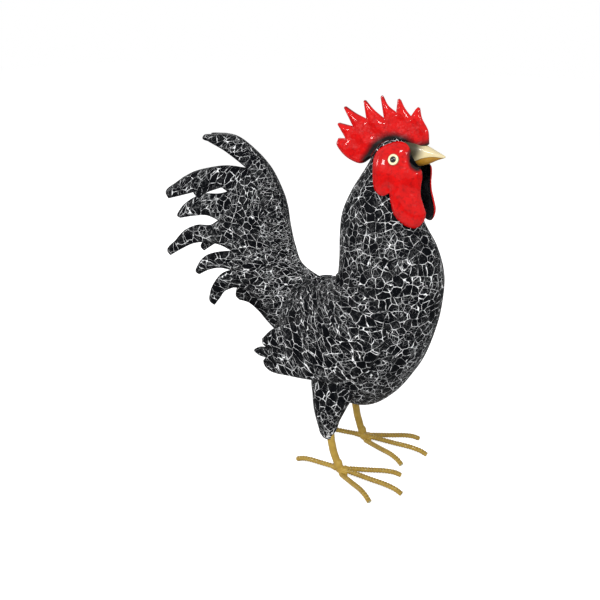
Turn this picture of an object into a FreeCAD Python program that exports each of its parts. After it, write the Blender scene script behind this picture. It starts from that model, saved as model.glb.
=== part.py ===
# Standing garden rooster of welded and painted sheet metal, in millimetres.
# X points forward to the beak, Y to the bird's left and Z up from the ground,
# with the origin on the ground below the middle of the overall box.

import FreeCAD
import Part
import Sketcher

import math
import os

Vector = FreeCAD.Vector
Placement = FreeCAD.Placement
Rotation = FreeCAD.Rotation

# Driving dimensions
SIZES = {
    # Sheet metal and fits
    "sheet_wall": 1.0,
    "seat_gap": 0.3,
    "overrun": 20,
    "curve_sag": 0.25,
    # Body, pressed in two halves from the head down to the rump
    "belly_height": 80,
    "body_rise": 317,
    "body_length": 204,
    "body_width": 114,
    "rump_back": 24,
    # Comb
    "comb_length": 108,
    "comb_height": 73,
    "comb_root_thickness": 15,
    "comb_tip_thickness": 5,
    # Face plates with ear lobe and wattle
    "face_length": 61,
    "face_height": 86,
    "eye_diameter": 11,
    "eye_rim": 1.1,
    "eye_stand": 2.2,
    # Beak
    "beak_length": 42,
    "beak_depth": 27,
    "beak_width": 21,
    # Wings
    "wing_length": 169,
    "wing_depth": 127,
    # Pleated saddle plumes
    "saddle_length": 64,
    "saddle_height": 68,
    "pleat_depth": 2,
    # Tail
    "tail_reach": 219,
    "tail_rise": 160,
    "tail_spread": 78,
    "tail_droop_left": 3,
    # Thighs and legs
    "leg_spacing": 84,
    "knee_drop_right": 39,
    "knee_drop_left": 31,
    "knee_stride": 10.5,
    "stance_offset": 1,
    "thigh_height": 87,
    "thigh_length": 62,
    "thigh_depth": 36,
    "leg_diameter": 8,
    "leg_lean_right": 14.5,
    "leg_lean_left": 16,
    "ankle_height": 6.5,
    # Toes
    "toe_diameter": 5,
    "toe_root": 6,
    "side_toe_root": 11.5,
    "low_toe_root": 7,
    "toe_inner_length": 73,
    "toe_middle_length": 83,
    "toe_outer_length": 69,
    "toe_hind_length": 59,
    "toe_crook": 15,
    "toe_splay": 28,
    "foot_turn_right": 2,
    "foot_turn_left": 4,
    "hind_turn_right": 4,
    "hind_turn_left": 10,
    "ground_flat": 0.5,
    # Weld beads between leg and toes
    "weld_height": 16,
    "weld_length": 21,
    "weld_depth": 18,
}

# Elliptical ribs of the body from the head to the rump. Each row has the back
# point and the breast point, as shares of body_length and body_rise, and the
# half width as a share of half the body_width.
BODY_RIB_SHARES = (
    (0.672, 1.000, 0.787, 0.984, 0.16),
    (0.605, 0.972, 0.835, 0.959, 0.27),
    (0.567, 0.918, 0.840, 0.908, 0.34),
    (0.514, 0.864, 0.816, 0.852, 0.38),
    (0.455, 0.801, 0.839, 0.792, 0.425),
    (0.412, 0.729, 0.870, 0.719, 0.51),
    (0.399, 0.647, 0.947, 0.644, 0.63),
    (0.402, 0.562, 0.990, 0.562, 0.75),
    (0.392, 0.494, 1.000, 0.467, 0.857),
    (0.340, 0.460, 0.978, 0.345, 0.946),
    (0.300, 0.447, 0.904, 0.202, 1.00),
    (0.221, 0.454, 0.774, 0.070, 1.00),
    (0.163, 0.444, 0.600, 0.000, 0.946),
    (0.106, 0.418, 0.403, 0.019, 0.82),
    (0.048, 0.372, 0.259, 0.063, 0.64),
    (0.000, 0.322, 0.154, 0.132, 0.43),
    (-0.020, 0.280, 0.080, 0.180, 0.25),
)

# Ribs of the curved surface that the wings are cut from, in the same shares
WING_RIB_SHARES = (
    (0.405, 0.562, 0.989, 0.562, 0.77),
    (0.394, 0.497, 1.000, 0.467, 0.882),
    (0.338, 0.468, 0.971, 0.350, 0.975),
    (0.300, 0.454, 0.886, 0.215, 1.045),
    (0.221, 0.461, 0.750, 0.085, 1.063),
    (0.144, 0.448, 0.585, 0.006, 1.07),
    (0.058, 0.423, 0.422, -0.005, 1.08),
    (-0.029, 0.391, 0.278, 0.000, 1.07),
    (-0.125, 0.353, 0.144, 0.010, 1.035),
    (-0.290, 0.300, -0.020, 0.010, 0.98),
)
WING_CORNER_SHARE = (-0.024, 0.114)
WING_OUTLINE_SHARES = (
    ((0.665, 0.976), (0.566, 0.866), (0.457, 0.700), (0.306, 0.559), (0.139, 0.433), (0.070, 0.330)),
    ((0.070, 0.330), (0.080, 0.285), (0.110, 0.265)),
    ((0.110, 0.265), (0.050, 0.245), (0.003, 0.190), (0.040, 0.160), (0.106, 0.155)),
    ((0.106, 0.155), (0.080, 0.105), (0.088, 0.055), (0.130, 0.012), (0.200, 0.004), (0.292, 0.018),
     (0.434, 0.036), (0.680, 0.085), (0.830, 0.180),
     (0.936, 0.362), (1.000, 0.640), (0.975, 0.790), (0.896, 0.920), (0.770, 1.000), (0.665, 0.976)),
)

# Ribs of the cheek surface: height as a share of body_rise, half depth as a
# share of body_length, half width as a share of half the body_width
FACE_RIB_SHARES = (
    (1.022, 0.182, 0.060),
    (1.000, 0.192, 0.193),
    (0.965, 0.202, 0.304),
    (0.915, 0.202, 0.379),
    (0.858, 0.202, 0.405),
    (0.795, 0.221, 0.450),
    (0.726, 0.230, 0.482),
    (0.681, 0.230, 0.464),
)
FACE_MIDDLE_SHARE = 0.715
FACE_CORNER_SHARE = (0.624, 0.726)
FACE_OUTLINE_SHARES = (
    ((0.650, 0.785), (0.748, 0.730), (0.858, 0.697), (0.885, 0.609), (0.876, 0.497), (0.889, 0.390),
     (0.947, 0.269), (0.992, 0.159), (0.960, 0.058), (0.873, -0.005), (0.744, 0.000), (0.611, 0.051),
     (0.476, 0.145), (0.410, 0.262), (0.355, 0.395)),
    ((0.355, 0.395), (0.242, 0.351), (0.140, 0.364), (0.045, 0.428), (0.000, 0.544), (-0.017, 0.679),
     (-0.010, 0.791), (0.047, 0.880), (0.247, 0.973), (0.419, 1.000), (0.574, 0.966), (0.645, 0.902),
     (0.650, 0.785)),
)
EYE_SHARE = (0.365, 0.795)
EYE_SEAT_SHARE = 0.345

# Comb with seven spikes, seen from the side
COMB_CORNER_SHARE = (0.350, 0.905)
COMB_OUTLINE_SHARES = (
    ((0.400, 0.100), (0.845, 0.180)),
    ((0.845, 0.180), (1.000, 0.370)),
    ((1.000, 0.370), (0.985, 0.550), (0.909, 0.740), (0.890, 0.855)),
    ((0.890, 0.855), (0.870, 0.870)),
    ((0.870, 0.870), (0.845, 0.840)),
    ((0.845, 0.840), (0.800, 0.740)),
    ((0.800, 0.740), (0.735, 0.840), (0.690, 0.950)),
    ((0.690, 0.950), (0.655, 0.955)),
    ((0.655, 0.955), (0.645, 0.781)),
    ((0.645, 0.781), (0.555, 0.870), (0.505, 0.985)),
    ((0.505, 0.985), (0.490, 1.000)),
    ((0.490, 1.000), (0.473, 0.975)),
    ((0.473, 0.975), (0.518, 0.685)),
    ((0.518, 0.685), (0.400, 0.800), (0.318, 0.915)),
    ((0.318, 0.915), (0.290, 0.900)),
    ((0.290, 0.900), (0.327, 0.658)),
    ((0.327, 0.658), (0.210, 0.725), (0.100, 0.810)),
    ((0.100, 0.810), (0.073, 0.785)),
    ((0.073, 0.785), (0.180, 0.534)),
    ((0.180, 0.534), (0.025, 0.570)),
    ((0.025, 0.570), (0.007, 0.535)),
    ((0.007, 0.535), (0.100, 0.350)),
    ((0.100, 0.350), (0.020, 0.345)),
    ((0.020, 0.345), (0.000, 0.270), (0.060, 0.140), (0.180, 0.030), (0.290, 0.000), (0.400, 0.100)),
)

# Beak ribs: length, top, underside and half width shares
BEAK_CORNER_SHARE = (0.768, 0.915)
BEAK_RIB_SHARES = (
    (0.00, 1.000, 0.000, 0.500),
    (0.37, 0.926, 0.037, 0.430),
    (0.60, 0.778, 0.148, 0.310),
    (0.84, 0.610, 0.333, 0.165),
    (1.00, 0.500, 0.426, 0.050),
)
MOUTH_LINE_SHARES = ((-0.20, 0.10), (0.256, 0.220), (0.450, 0.370), (0.630, 0.444), (1.10, 0.400))

# Ribs of the tail surface from the rump up to the sickle tip: the middle of
# the trailing tips and the leading point, as shares of tail_reach and
# tail_rise behind and above the tail root, and the half width as a share of
# half the tail_spread
TAIL_ROOT_SHARE = (0.288, 0.480)
TAIL_RIB_SHARES = (
    (0.152, -0.575, -0.071, -0.130, 0.24),
    (0.259, -0.463, 0.000, -0.050, 0.30),
    (0.487, -0.425, 0.142, 0.043, 0.48),
    (0.696, -0.288, 0.199, 0.175, 0.70),
    (0.866, -0.106, 0.229, 0.319, 0.84),
    (0.982, 0.113, 0.249, 0.456, 0.87),
    (1.000, 0.331, 0.284, 0.588, 0.82),
    (0.973, 0.519, 0.339, 0.713, 0.72),
    (0.920, 0.688, 0.429, 0.831, 0.56),
    (0.844, 0.838, 0.545, 0.931, 0.36),
    (0.850, 0.900, 0.665, 0.950, 0.26),
    (0.870, 0.940, 0.750, 0.925, 0.14),
)
FAN_OUTLINE_SHARES = (
    ((-0.116, 0.113), (0.040, 0.270), (0.116, 0.425), (0.143, 0.581), (0.219, 0.738), (0.353, 0.875)),
    ((0.353, 0.875), (0.457, 0.718)),
    ((0.457, 0.718), (0.510, 0.738), (0.571, 0.741), (0.680, 0.714), (0.790, 0.668), (0.899, 0.580),
     (0.973, 0.475), (0.952, 0.443)),
    ((0.952, 0.443), (0.860, 0.481), (0.760, 0.527), (0.695, 0.568), (0.640, 0.582), (0.595, 0.572)),
    ((0.595, 0.572), (0.566, 0.550)),
    ((0.566, 0.550), (0.600, 0.535), (0.712, 0.514), (0.809, 0.450), (0.870, 0.375), (0.892, 0.313),
     (0.870, 0.303)),
    ((0.870, 0.303), (0.765, 0.338), (0.680, 0.352), (0.614, 0.328)),
    ((0.614, 0.328), (0.655, 0.290), (0.757, 0.268), (0.830, 0.222), (0.905, 0.125), (0.968, 0.008),
     (0.950, -0.012)),
    ((0.950, -0.012), (0.868, 0.055), (0.775, 0.119), (0.665, 0.144), (0.590, 0.132), (0.533, 0.102)),
    ((0.533, 0.102), (0.570, 0.094), (0.625, 0.077), (0.697, 0.036), (0.757, -0.050), (0.771, -0.118),
     (0.750, -0.130)),
    ((0.750, -0.130), (0.680, -0.078), (0.603, -0.050), (0.545, -0.055)),
    ((0.545, -0.055), (0.590, -0.083), (0.655, -0.175), (0.693, -0.268), (0.703, -0.365), (0.677, -0.385)),
    ((0.677, -0.385), (0.637, -0.320), (0.594, -0.245), (0.535, -0.200)),
    ((0.535, -0.200), (0.470, -0.196), (0.408, -0.242), (0.343, -0.333), (0.275, -0.420)),
    ((0.275, -0.420), (0.107, -0.513)),
    ((0.107, -0.513), (-0.116, -0.325)),
    ((-0.116, -0.325), (-0.116, 0.113)),
)
SICKLE_OUTLINE_SHARES = (
    ((-0.040, -0.100), (0.000, 0.100), (0.134, 0.290), (0.160, 0.550), (0.280, 0.830), (0.420, 0.990),
     (0.560, 1.060), (0.700, 1.040), (0.757, 0.955)),
    ((0.757, 0.955), (0.752, 0.915), (0.710, 0.902)),
    ((0.710, 0.902), (0.604, 0.848), (0.521, 0.788), (0.456, 0.733)),
    ((0.456, 0.733), (0.411, 0.644), (0.366, 0.500), (0.321, 0.350), (0.250, 0.170), (0.110, -0.040)),
    ((0.110, -0.040), (-0.040, -0.100)),
)

# Pleated saddle plumes over the rump, in front of the tail
SADDLE_CORNER_SHARE = (0.160, 0.305)
SADDLE_OUTLINE_SHARES = (
    ((0.97, 1.00), (0.72, 0.98), (0.42, 0.86), (0.15, 0.64), (0.05, 0.46)),
    ((0.05, 0.46), (0.25, 0.35), (0.46, 0.25)),
    ((0.46, 0.25), (0.66, 0.40), (0.84, 0.56), (0.97, 0.72)),
    ((0.97, 0.72), (1.00, 0.86), (0.97, 1.00)),
)
SADDLE_FIRST_RIB = 8
SADDLE_LAST_RIB = 14
SADDLE_STEPS = 3

# Ribs of the forms that stand beside the body: height, rear, front and half
# depth, then how far the middle moves inward, as shares of the form's own
# height, length and depth. First the thigh, from the knee up.
THIGH_RIB_SHARES = (
    (0.000, -0.089, 0.089, 0.153, 0.000),
    (0.092, -0.195, 0.095, 0.217, 0.000),
    (0.172, -0.235, 0.150, 0.290, 0.014),
    (0.310, -0.285, 0.200, 0.360, 0.030),
    (0.494, -0.345, 0.310, 0.430, 0.055),
    (0.655, -0.390, 0.415, 0.486, 0.110),
    (0.816, -0.465, 0.485, 0.500, 0.220),
    (1.000, -0.465, 0.485, 0.444, 0.390),
)
KNEE_SHARE = 0.434

# Weld bead where the leg meets the toes, from the ground up
WELD_RIB_SHARES = (
    (0.00, -0.28, 0.36, 0.34, 0.00),
    (0.16, -0.38, 0.62, 0.48, 0.00),
    (0.42, -0.42, 0.62, 0.50, 0.00),
    (0.70, -0.46, 0.26, 0.38, 0.00),
    (1.00, -0.50, -0.02, 0.28, 0.00),
)

BODY_SIDES = 24
THIGH_SIDES = 16
SMALL_SIDES = 16
BORE_SIDES = 12

doc = FreeCAD.newDocument("Rooster")
sheet = doc.addObject("Spreadsheet::Sheet", "Sizes")
for row, (alias, value) in enumerate(SIZES.items(), start=1):
    sheet.set(f"A{row}", alias)
    sheet.set(f"B{row}", str(value))
    sheet.setAlias(f"B{row}", alias)
doc.recompute()

part_nodes = []


def size(alias):
    return float(getattr(sheet, alias))


def keep(obj, label):
    """Name a finished sub-part after its file."""
    obj.Label = label
    part_nodes.append(obj)
    return obj


def body_x(share):
    return size("body_length") * share - size("rump_back")


def body_z(share):
    return size("belly_height") + size("body_rise") * share


def body_half(share):
    return size("body_width") / 2 * share


def rib(front, back, half, side=0):
    """An elliptical rib from one end point to the other in the XZ plane."""
    return {"ends": (Vector(front[0], side, front[1]), Vector(back[0], side, back[1])), "half": half}


def grown(ribs, amount):
    """The same ribs moved outward by an amount, the end ribs along the form too."""
    result = []
    for index, item in enumerate(ribs):
        start, end = item["ends"]
        outward = (start - end).normalize() * amount
        along = Vector()
        if len(ribs) > 1 and index in (0, len(ribs) - 1):
            neighbour = ribs[1] if index == 0 else ribs[-2]
            here = (start + end) / 2
            along = (here - (neighbour["ends"][0] + neighbour["ends"][1]) / 2).normalize() * amount
        ends = (start + outward + along, end - outward + along)
        result.append({"ends": ends, "half": item["half"] + amount})
    return result


def rib_point(item, turn):
    start, end = item["ends"]
    middle = (start + end) / 2
    point = middle + (start - middle) * math.cos(turn)
    point.y = middle.y - item["half"] * math.sin(turn)
    return point


def facet(*corners):
    return Part.Face(Part.makePolygon([*corners, corners[0]]))


def skin(name, ribs, sides, one_side=False):
    """Closed sheet-metal form of flat facets over the ribs.

    A one-sided form ends in the seam plane, on the bird's right.
    """
    count = sides // 2 if one_side else sides
    step = 2 * math.pi / sides
    rings = [[rib_point(item, step * place) for place in range(count + 1)] for item in ribs]
    faces = []
    for near, far in zip(rings, rings[1:]):
        for place in range(count):
            faces.append(facet(near[place], near[place + 1], far[place + 1]))
            faces.append(facet(near[place], far[place + 1], far[place]))
    for ring in (rings[0], rings[-1]):
        faces.append(facet(*(ring if one_side else ring[:-1])))
    if one_side:
        rim = [ring[0] for ring in rings] + [ring[-1] for ring in reversed(rings)]
        faces.append(facet(*rim))
    form = doc.addObject("Part::Feature", name)
    solid = Part.makeSolid(Part.makeShell(faces))
    if solid.Volume < 0:
        solid.reverse()
    form.Shape = solid
    return form


def stroke(points):
    """A straight line for two points, a smooth curve in short chords for more."""
    if len(points) == 2:
        return points
    curve = Part.BSplineCurve()
    curve.interpolate(points)
    return curve.discretize(Deflection=size("curve_sag"))


def extruded(name, outline):
    """A side view extruded to beyond the wings on the bird's right."""
    blank = doc.addObject("Part::Extrusion", name + "_blank")
    blank.Base = outline
    blank.DirMode = "Custom"
    blank.Dir = Vector(0, -1, 0)
    blank.Solid = True
    blank.setExpression("LengthFwd", "Sizes.body_width + Sizes.overrun")
    return blank


def plate_blank(name, strokes, place):
    """Side view of a plate, extruded from past the seam to beyond the wings."""
    corners = []
    for line in strokes:
        corners += stroke([place(*shares) for shares in line])[:-1]
    outline = doc.addObject("Part::Feature", name + "_outline")
    outline.Shape = facet(*corners)
    return extruded(name, outline)


def common(name, base, tool):
    result = doc.addObject("Part::Common", name)
    result.Base = base
    result.Tool = tool
    return result


def cut(name, base, tool):
    result = doc.addObject("Part::Cut", name)
    result.Base = base
    result.Tool = tool
    return result


def mirrored(obj, label):
    """The same piece on the bird's left."""
    result = doc.addObject("Part::Mirroring", obj.Name + "_left")
    result.Source = obj
    result.Normal = Vector(0, 1, 0)
    return keep(result, label)


def ribs_on_body(table):
    return [
        rib((body_x(ax), body_z(az)), (body_x(bx), body_z(bz)), body_half(half))
        for ax, az, bx, bz, half in table
    ]


wall = size("sheet_wall")
gap = size("seat_gap")

# Body: a hollow form in two halves, welded along the back and the breast
body_ribs = ribs_on_body(BODY_RIB_SHARES)
body_outer = skin("BodyOuter", body_ribs, BODY_SIDES, one_side=True)
body_inner = skin("BodyInner", grown(body_ribs, -wall), BODY_SIDES)
body_seat = skin("BodySeat", grown(body_ribs, gap), BODY_SIDES)
body_right = keep(cut("BodyShell", body_outer, body_inner), "body_shell_right")
mirrored(body_right, "body_shell_left")


def corner_place(corner_share, length, height, clearance=0):
    """Place shares of a length and a height from a corner on the body.

    A clearance widens the whole view by that much on every side.
    """
    left = body_x(corner_share[0]) - clearance
    foot = body_z(corner_share[1]) - clearance
    wide = size(length) + 2 * clearance
    high = size(height) + 2 * clearance
    return lambda x, z: Vector(left + wide * x, size("overrun"), foot + high * z)


def curved_plate(name, ribs, strokes, place, stand=0):
    """A plate cut to an outline from a curved sheet that follows the ribs."""
    outer = skin(name + "Outer", grown(ribs, stand), BODY_SIDES, one_side=True)
    inner = skin(name + "Inner", grown(ribs, stand - wall), BODY_SIDES)
    curved = cut(name + "Curved", outer, inner)
    blank = plate_blank(name, strokes, place)
    return common(name + "Trimmed", curved, blank)


def sheet_plate(name, ribs, strokes, place, stand=0):
    """A curved plate that ends where it meets the body."""
    return cut(name + "Seated", curved_plate(name, ribs, strokes, place, stand), body_seat)


# Wings
wing_ribs = ribs_on_body(WING_RIB_SHARES)
wing_place = corner_place(WING_CORNER_SHARE, "wing_length", "wing_depth")
wing = keep(sheet_plate("Wing", wing_ribs, WING_OUTLINE_SHARES, wing_place), "wing_right")
mirrored(wing, "wing_left")

# Tail: a fan of five feathers on each side, under a sickle feather
tail_root = (body_x(TAIL_ROOT_SHARE[0]), body_z(TAIL_ROOT_SHARE[1]))


def tail_place(behind, above):
    x = tail_root[0] - size("tail_reach") * behind
    z = tail_root[1] + size("tail_rise") * above
    return Vector(x, size("overrun"), z)


def tail_rib(middle_behind, middle_above, lead_behind, lead_above, half):
    middle = tail_place(middle_behind, middle_above)
    lead = tail_place(lead_behind, lead_above)
    trail = middle * 2 - lead
    return rib((lead.x, lead.z), (trail.x, trail.z), size("tail_spread") / 2 * half)


tail_ribs = [tail_rib(*shares) for shares in TAIL_RIB_SHARES]
fan = curved_plate("Fan", tail_ribs, FAN_OUTLINE_SHARES, tail_place)
keep(cut("FanRight", fan, body_seat), "tail_fan_right")

# The left fan hangs a little lower than the right one
hanging_fan = doc.addObject("Part::Mirroring", "FanHanging")
hanging_fan.Source = fan
hanging_fan.Normal = Vector(0, 1, 0)
hanging_fan.Placement = Placement(
    Vector(), Rotation(Vector(0, -1, 0), size("tail_droop_left")), Vector(tail_root[0], 0, tail_root[1])
)
keep(cut("FanLeft", hanging_fan, body_seat), "tail_fan_left")

sickle = sheet_plate("Sickle", tail_ribs, SICKLE_OUTLINE_SHARES, tail_place, stand=wall + gap)
keep(sickle, "tail_sickle_right")
mirrored(sickle, "tail_sickle_left")


# Saddle plumes: pleated sheets over the rump that end at the tail
def between(first, second, share):
    ends = [first["ends"][side] * (1 - share) + second["ends"][side] * share for side in (0, 1)]
    return {"ends": tuple(ends), "half": first["half"] * (1 - share) + second["half"] * share}


def saddle_ribs():
    """Body ribs under the plumes, divided finely and raised in turn as pleats."""
    fine = []
    under = body_ribs[SADDLE_FIRST_RIB:SADDLE_LAST_RIB + 1]
    for first, second in zip(under, under[1:]):
        fine += [between(first, second, step / SADDLE_STEPS) for step in range(SADDLE_STEPS)]
    fine.append(under[-1])
    return [
        grown([item], 2 * gap + wall + size("pleat_depth") * (index % 2))[0]
        for index, item in enumerate(fine)
    ]


saddle_place = corner_place(SADDLE_CORNER_SHARE, "saddle_length", "saddle_height")
tail_seat = skin("TailSeat", grown(tail_ribs, 2 * (wall + gap)), BODY_SIDES)
wing_room = corner_place(WING_CORNER_SHARE, "wing_length", "wing_depth", clearance=gap)
wing_seat = plate_blank("WingSeat", WING_OUTLINE_SHARES, wing_room)
plume = sheet_plate("Saddle", saddle_ribs(), SADDLE_OUTLINE_SHARES, saddle_place)
plume_at_tail = cut("SaddleAtTail", plume, tail_seat)
saddle = keep(cut("SaddlePlume", plume_at_tail, wing_seat), "saddle_plume_right")
mirrored(saddle, "saddle_plume_left")

# Beak: one tapered form, parted along the line of the mouth
beak_place = corner_place(BEAK_CORNER_SHARE, "beak_length", "beak_depth")


def beak_rib(along, top, under, half):
    upper = beak_place(along, top)
    lower = beak_place(along, under)
    return rib((upper.x, upper.z), (lower.x, lower.z), size("beak_width") * half)


def mouth_blank(name, drop):
    """The space above the line of the mouth, lowered by a drop."""
    line = [beak_place(*shares) - Vector(0, 0, drop) for shares in MOUTH_LINE_SHARES]
    top = Vector(0, 0, size("beak_depth") * 2)
    outline = doc.addObject("Part::Feature", name + "_outline")
    outline.Shape = facet(*line, line[-1] + top, line[0] + top)
    return extruded(name, outline)


beak_ribs = [beak_rib(*shares) for shares in BEAK_RIB_SHARES]
beak_form = skin("BeakForm", beak_ribs, SMALL_SIDES)
beak_seat = skin("BeakSeat", grown(beak_ribs, gap), SMALL_SIDES)
beak_trimmed = cut("BeakTrimmed", beak_form, body_seat)
keep(common("BeakUpper", beak_trimmed, mouth_blank("MouthAbove", 0)), "beak_upper")
keep(cut("BeakLower", beak_trimmed, mouth_blank("MouthGap", gap)), "beak_lower")

# Comb: two pressed halves, thick at the root and thin at the tips
comb_place = corner_place(COMB_CORNER_SHARE, "comb_length", "comb_height")
comb_corner = comb_place(0, 0)
taper = doc.addObject("Part::Wedge", "CombTaper")
for name, expression in {
    "Xmin": "0",
    "Xmax": "Sizes.comb_length + 2 * Sizes.overrun",
    "X2min": "0",
    "X2max": "Sizes.comb_length + 2 * Sizes.overrun",
    "Ymin": "0",
    "Ymax": "Sizes.comb_height",
    "Zmin": "0",
    "Zmax": "Sizes.comb_root_thickness / 2",
    "Z2min": "0",
    "Z2max": "Sizes.comb_tip_thickness / 2",
}.items():
    taper.setExpression(name, expression)
taper.Placement = Placement(
    Vector(comb_corner.x - size("overrun"), 0, comb_corner.z), Rotation(Vector(1, 0, 0), 90)
)
comb_blank = plate_blank("Comb", COMB_OUTLINE_SHARES, comb_place)
comb_half = common("CombHalf", taper, comb_blank)
comb_on_head = cut("CombOnHead", comb_half, body_seat)
comb = keep(cut("CombPlate", comb_on_head, beak_seat), "comb_right")
mirrored(comb, "comb_left")

# Face plates and eyes
face_middle = body_x(FACE_MIDDLE_SHARE)


def face_rib(height, depth, half):
    reach = size("body_length") * depth
    z = body_z(height)
    return rib((face_middle + reach, z), (face_middle - reach, z), body_half(half))


face_ribs = [face_rib(*shares) for shares in FACE_RIB_SHARES]
face_place = corner_place(FACE_CORNER_SHARE, "face_length", "face_height")
face = keep(sheet_plate("Face", face_ribs, FACE_OUTLINE_SHARES, face_place), "face_plate_right")
mirrored(face, "face_plate_left")

face_seat = skin("FaceSeat", grown(face_ribs, gap), BODY_SIDES)
eye_middle = face_place(*EYE_SHARE)


def eye_ring(name, radius, stand):
    """One end of the eye button, which stands out from the cheek."""
    ring = doc.addObject("Part::RegularPolygon", name)
    ring.Polygon = SMALL_SIDES
    ring.setExpression("Circumradius", radius)
    ring.Placement = Placement(
        Vector(eye_middle.x, -body_half(EYE_SEAT_SHARE) - stand, eye_middle.z), Rotation(Vector(1, 0, 0), 90)
    )
    return ring


eye_button = doc.addObject("Part::Loft", "EyeButton")
eye_button.Sections = [
    eye_ring("EyeBase", "Sizes.eye_diameter / 2", -size("eye_stand")),
    eye_ring("EyeFront", "Sizes.eye_diameter / 2 - Sizes.eye_rim", size("eye_stand")),
]
eye_button.Solid = True
eye_button.Ruled = True
eye = keep(cut("Eye", eye_button, face_seat), "eye_right")
mirrored(eye, "eye_left")


def origin_plane(body, role):
    return next(item for item in body.Origin.OriginFeatures if item.Role == role)


def sketch_on(body, name, role):
    sketch = body.newObject("Sketcher::SketchObject", name)
    sketch.AttachmentSupport = (origin_plane(body, role), [""])
    sketch.MapMode = "FlatFace"
    return sketch


def fix_point(sketch, geometry, point, across, up):
    """Tie a sketch point to the origin by two expressions, None for the upright axis."""
    if across is None:
        sketch.addConstraint(Sketcher.Constraint("PointOnObject", geometry, point, -2))
    else:
        place = sketch.addConstraint(Sketcher.Constraint("DistanceX", -1, 1, geometry, point, 1))
        sketch.setExpression(f"Constraints[{place}]", across)
    place = sketch.addConstraint(Sketcher.Constraint("DistanceY", -1, 1, geometry, point, 1))
    sketch.setExpression(f"Constraints[{place}]", up)


def rod(name, points, diameter, start_role, start_offset, start_up=None):
    """A bent round rod along straight runs between points in its own XZ plane."""
    body = doc.addObject("PartDesign::Body", name)
    path = sketch_on(body, name + "_path", "XZ_Plane")
    for index in range(len(points) - 1):
        near = Vector(index, index + 1, 0)
        far = Vector(index + 1, index + 2, 0)
        path.addGeometry(Part.LineSegment(near, far))
        if index:
            path.addConstraint(Sketcher.Constraint("Coincident", index - 1, 2, index, 1))
        fix_point(path, index, 1, *points[index])
    fix_point(path, len(points) - 2, 2, *points[-1])
    section = sketch_on(body, name + "_section", start_role)
    section.setExpression("AttachmentOffset.Base.z", start_offset)
    section.addGeometry(Part.Circle(Vector(0, 1, 0), Vector(0, 0, 1), 1))
    if start_up is None:
        section.addConstraint(Sketcher.Constraint("Coincident", 0, 3, -1, 1))
    else:
        fix_point(section, 0, 3, None, start_up)
    width = section.addConstraint(Sketcher.Constraint("Diameter", 0, 2))
    section.setExpression(f"Constraints[{width}]", diameter)
    pipe = body.newObject("PartDesign::AdditivePipe", name + "_pipe")
    pipe.Profile = section
    pipe.Spine = path
    pipe.Transition = "Right corner"
    return body


ground = doc.addObject("Part::Box", "Ground")
ground.setExpression("Length", "Sizes.body_length * 4")
ground.setExpression("Width", "Sizes.body_width * 4")
ground.setExpression("Height", "Sizes.overrun")
ground.Placement.Base = Vector(-2 * size("body_length"), -2 * size("body_width"), -size("overrun"))


def bore(name, diameter, base, direction):
    """A hole for a rod, with flats that clear it by the seat gap."""
    hole = doc.addObject("Part::Prism", name)
    hole.Polygon = BORE_SIDES
    hole.setExpression("Circumradius", f"({diameter} / 2 + Sizes.seat_gap) / cos(180deg / {BORE_SIDES})")
    hole.setExpression("Height", "Sizes.thigh_height")
    hole.Placement = Placement(base, Rotation(Vector(0, 0, 1), direction))
    return hole


def side_ribs(table, part, base, side):
    """Level ribs of a form beside the body, as high, long and deep as its sizes say."""
    height = size(part + "_height")
    length = size(part + "_length")
    depth = size(part + "_depth")
    result = []
    for up, rear, front, half, inward in table:
        y = base.y - side * depth * inward
        z = base.z + height * up
        result.append(rib((base.x + length * front, z), (base.x + length * rear, z), depth * half, y))
    return result


def toe(name, label, length, root, root_height, yaw, ankle):
    """A toe of round bar that leaves the weld and bends down to the ground."""
    bar = rod(
        name,
        [
            (root, root_height),
            (f"Sizes.{length} - Sizes.toe_crook", "Sizes.ankle_height"),
            (f"Sizes.{length}", "Sizes.toe_diameter / 2 - Sizes.ground_flat"),
        ],
        "Sizes.toe_diameter",
        "YZ_Plane",
        root,
        root_height,
    )
    bar.Placement = Placement(ankle, Rotation(Vector(0, 0, 1), yaw))
    keep(cut(name + "Standing", bar, ground), label)


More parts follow.
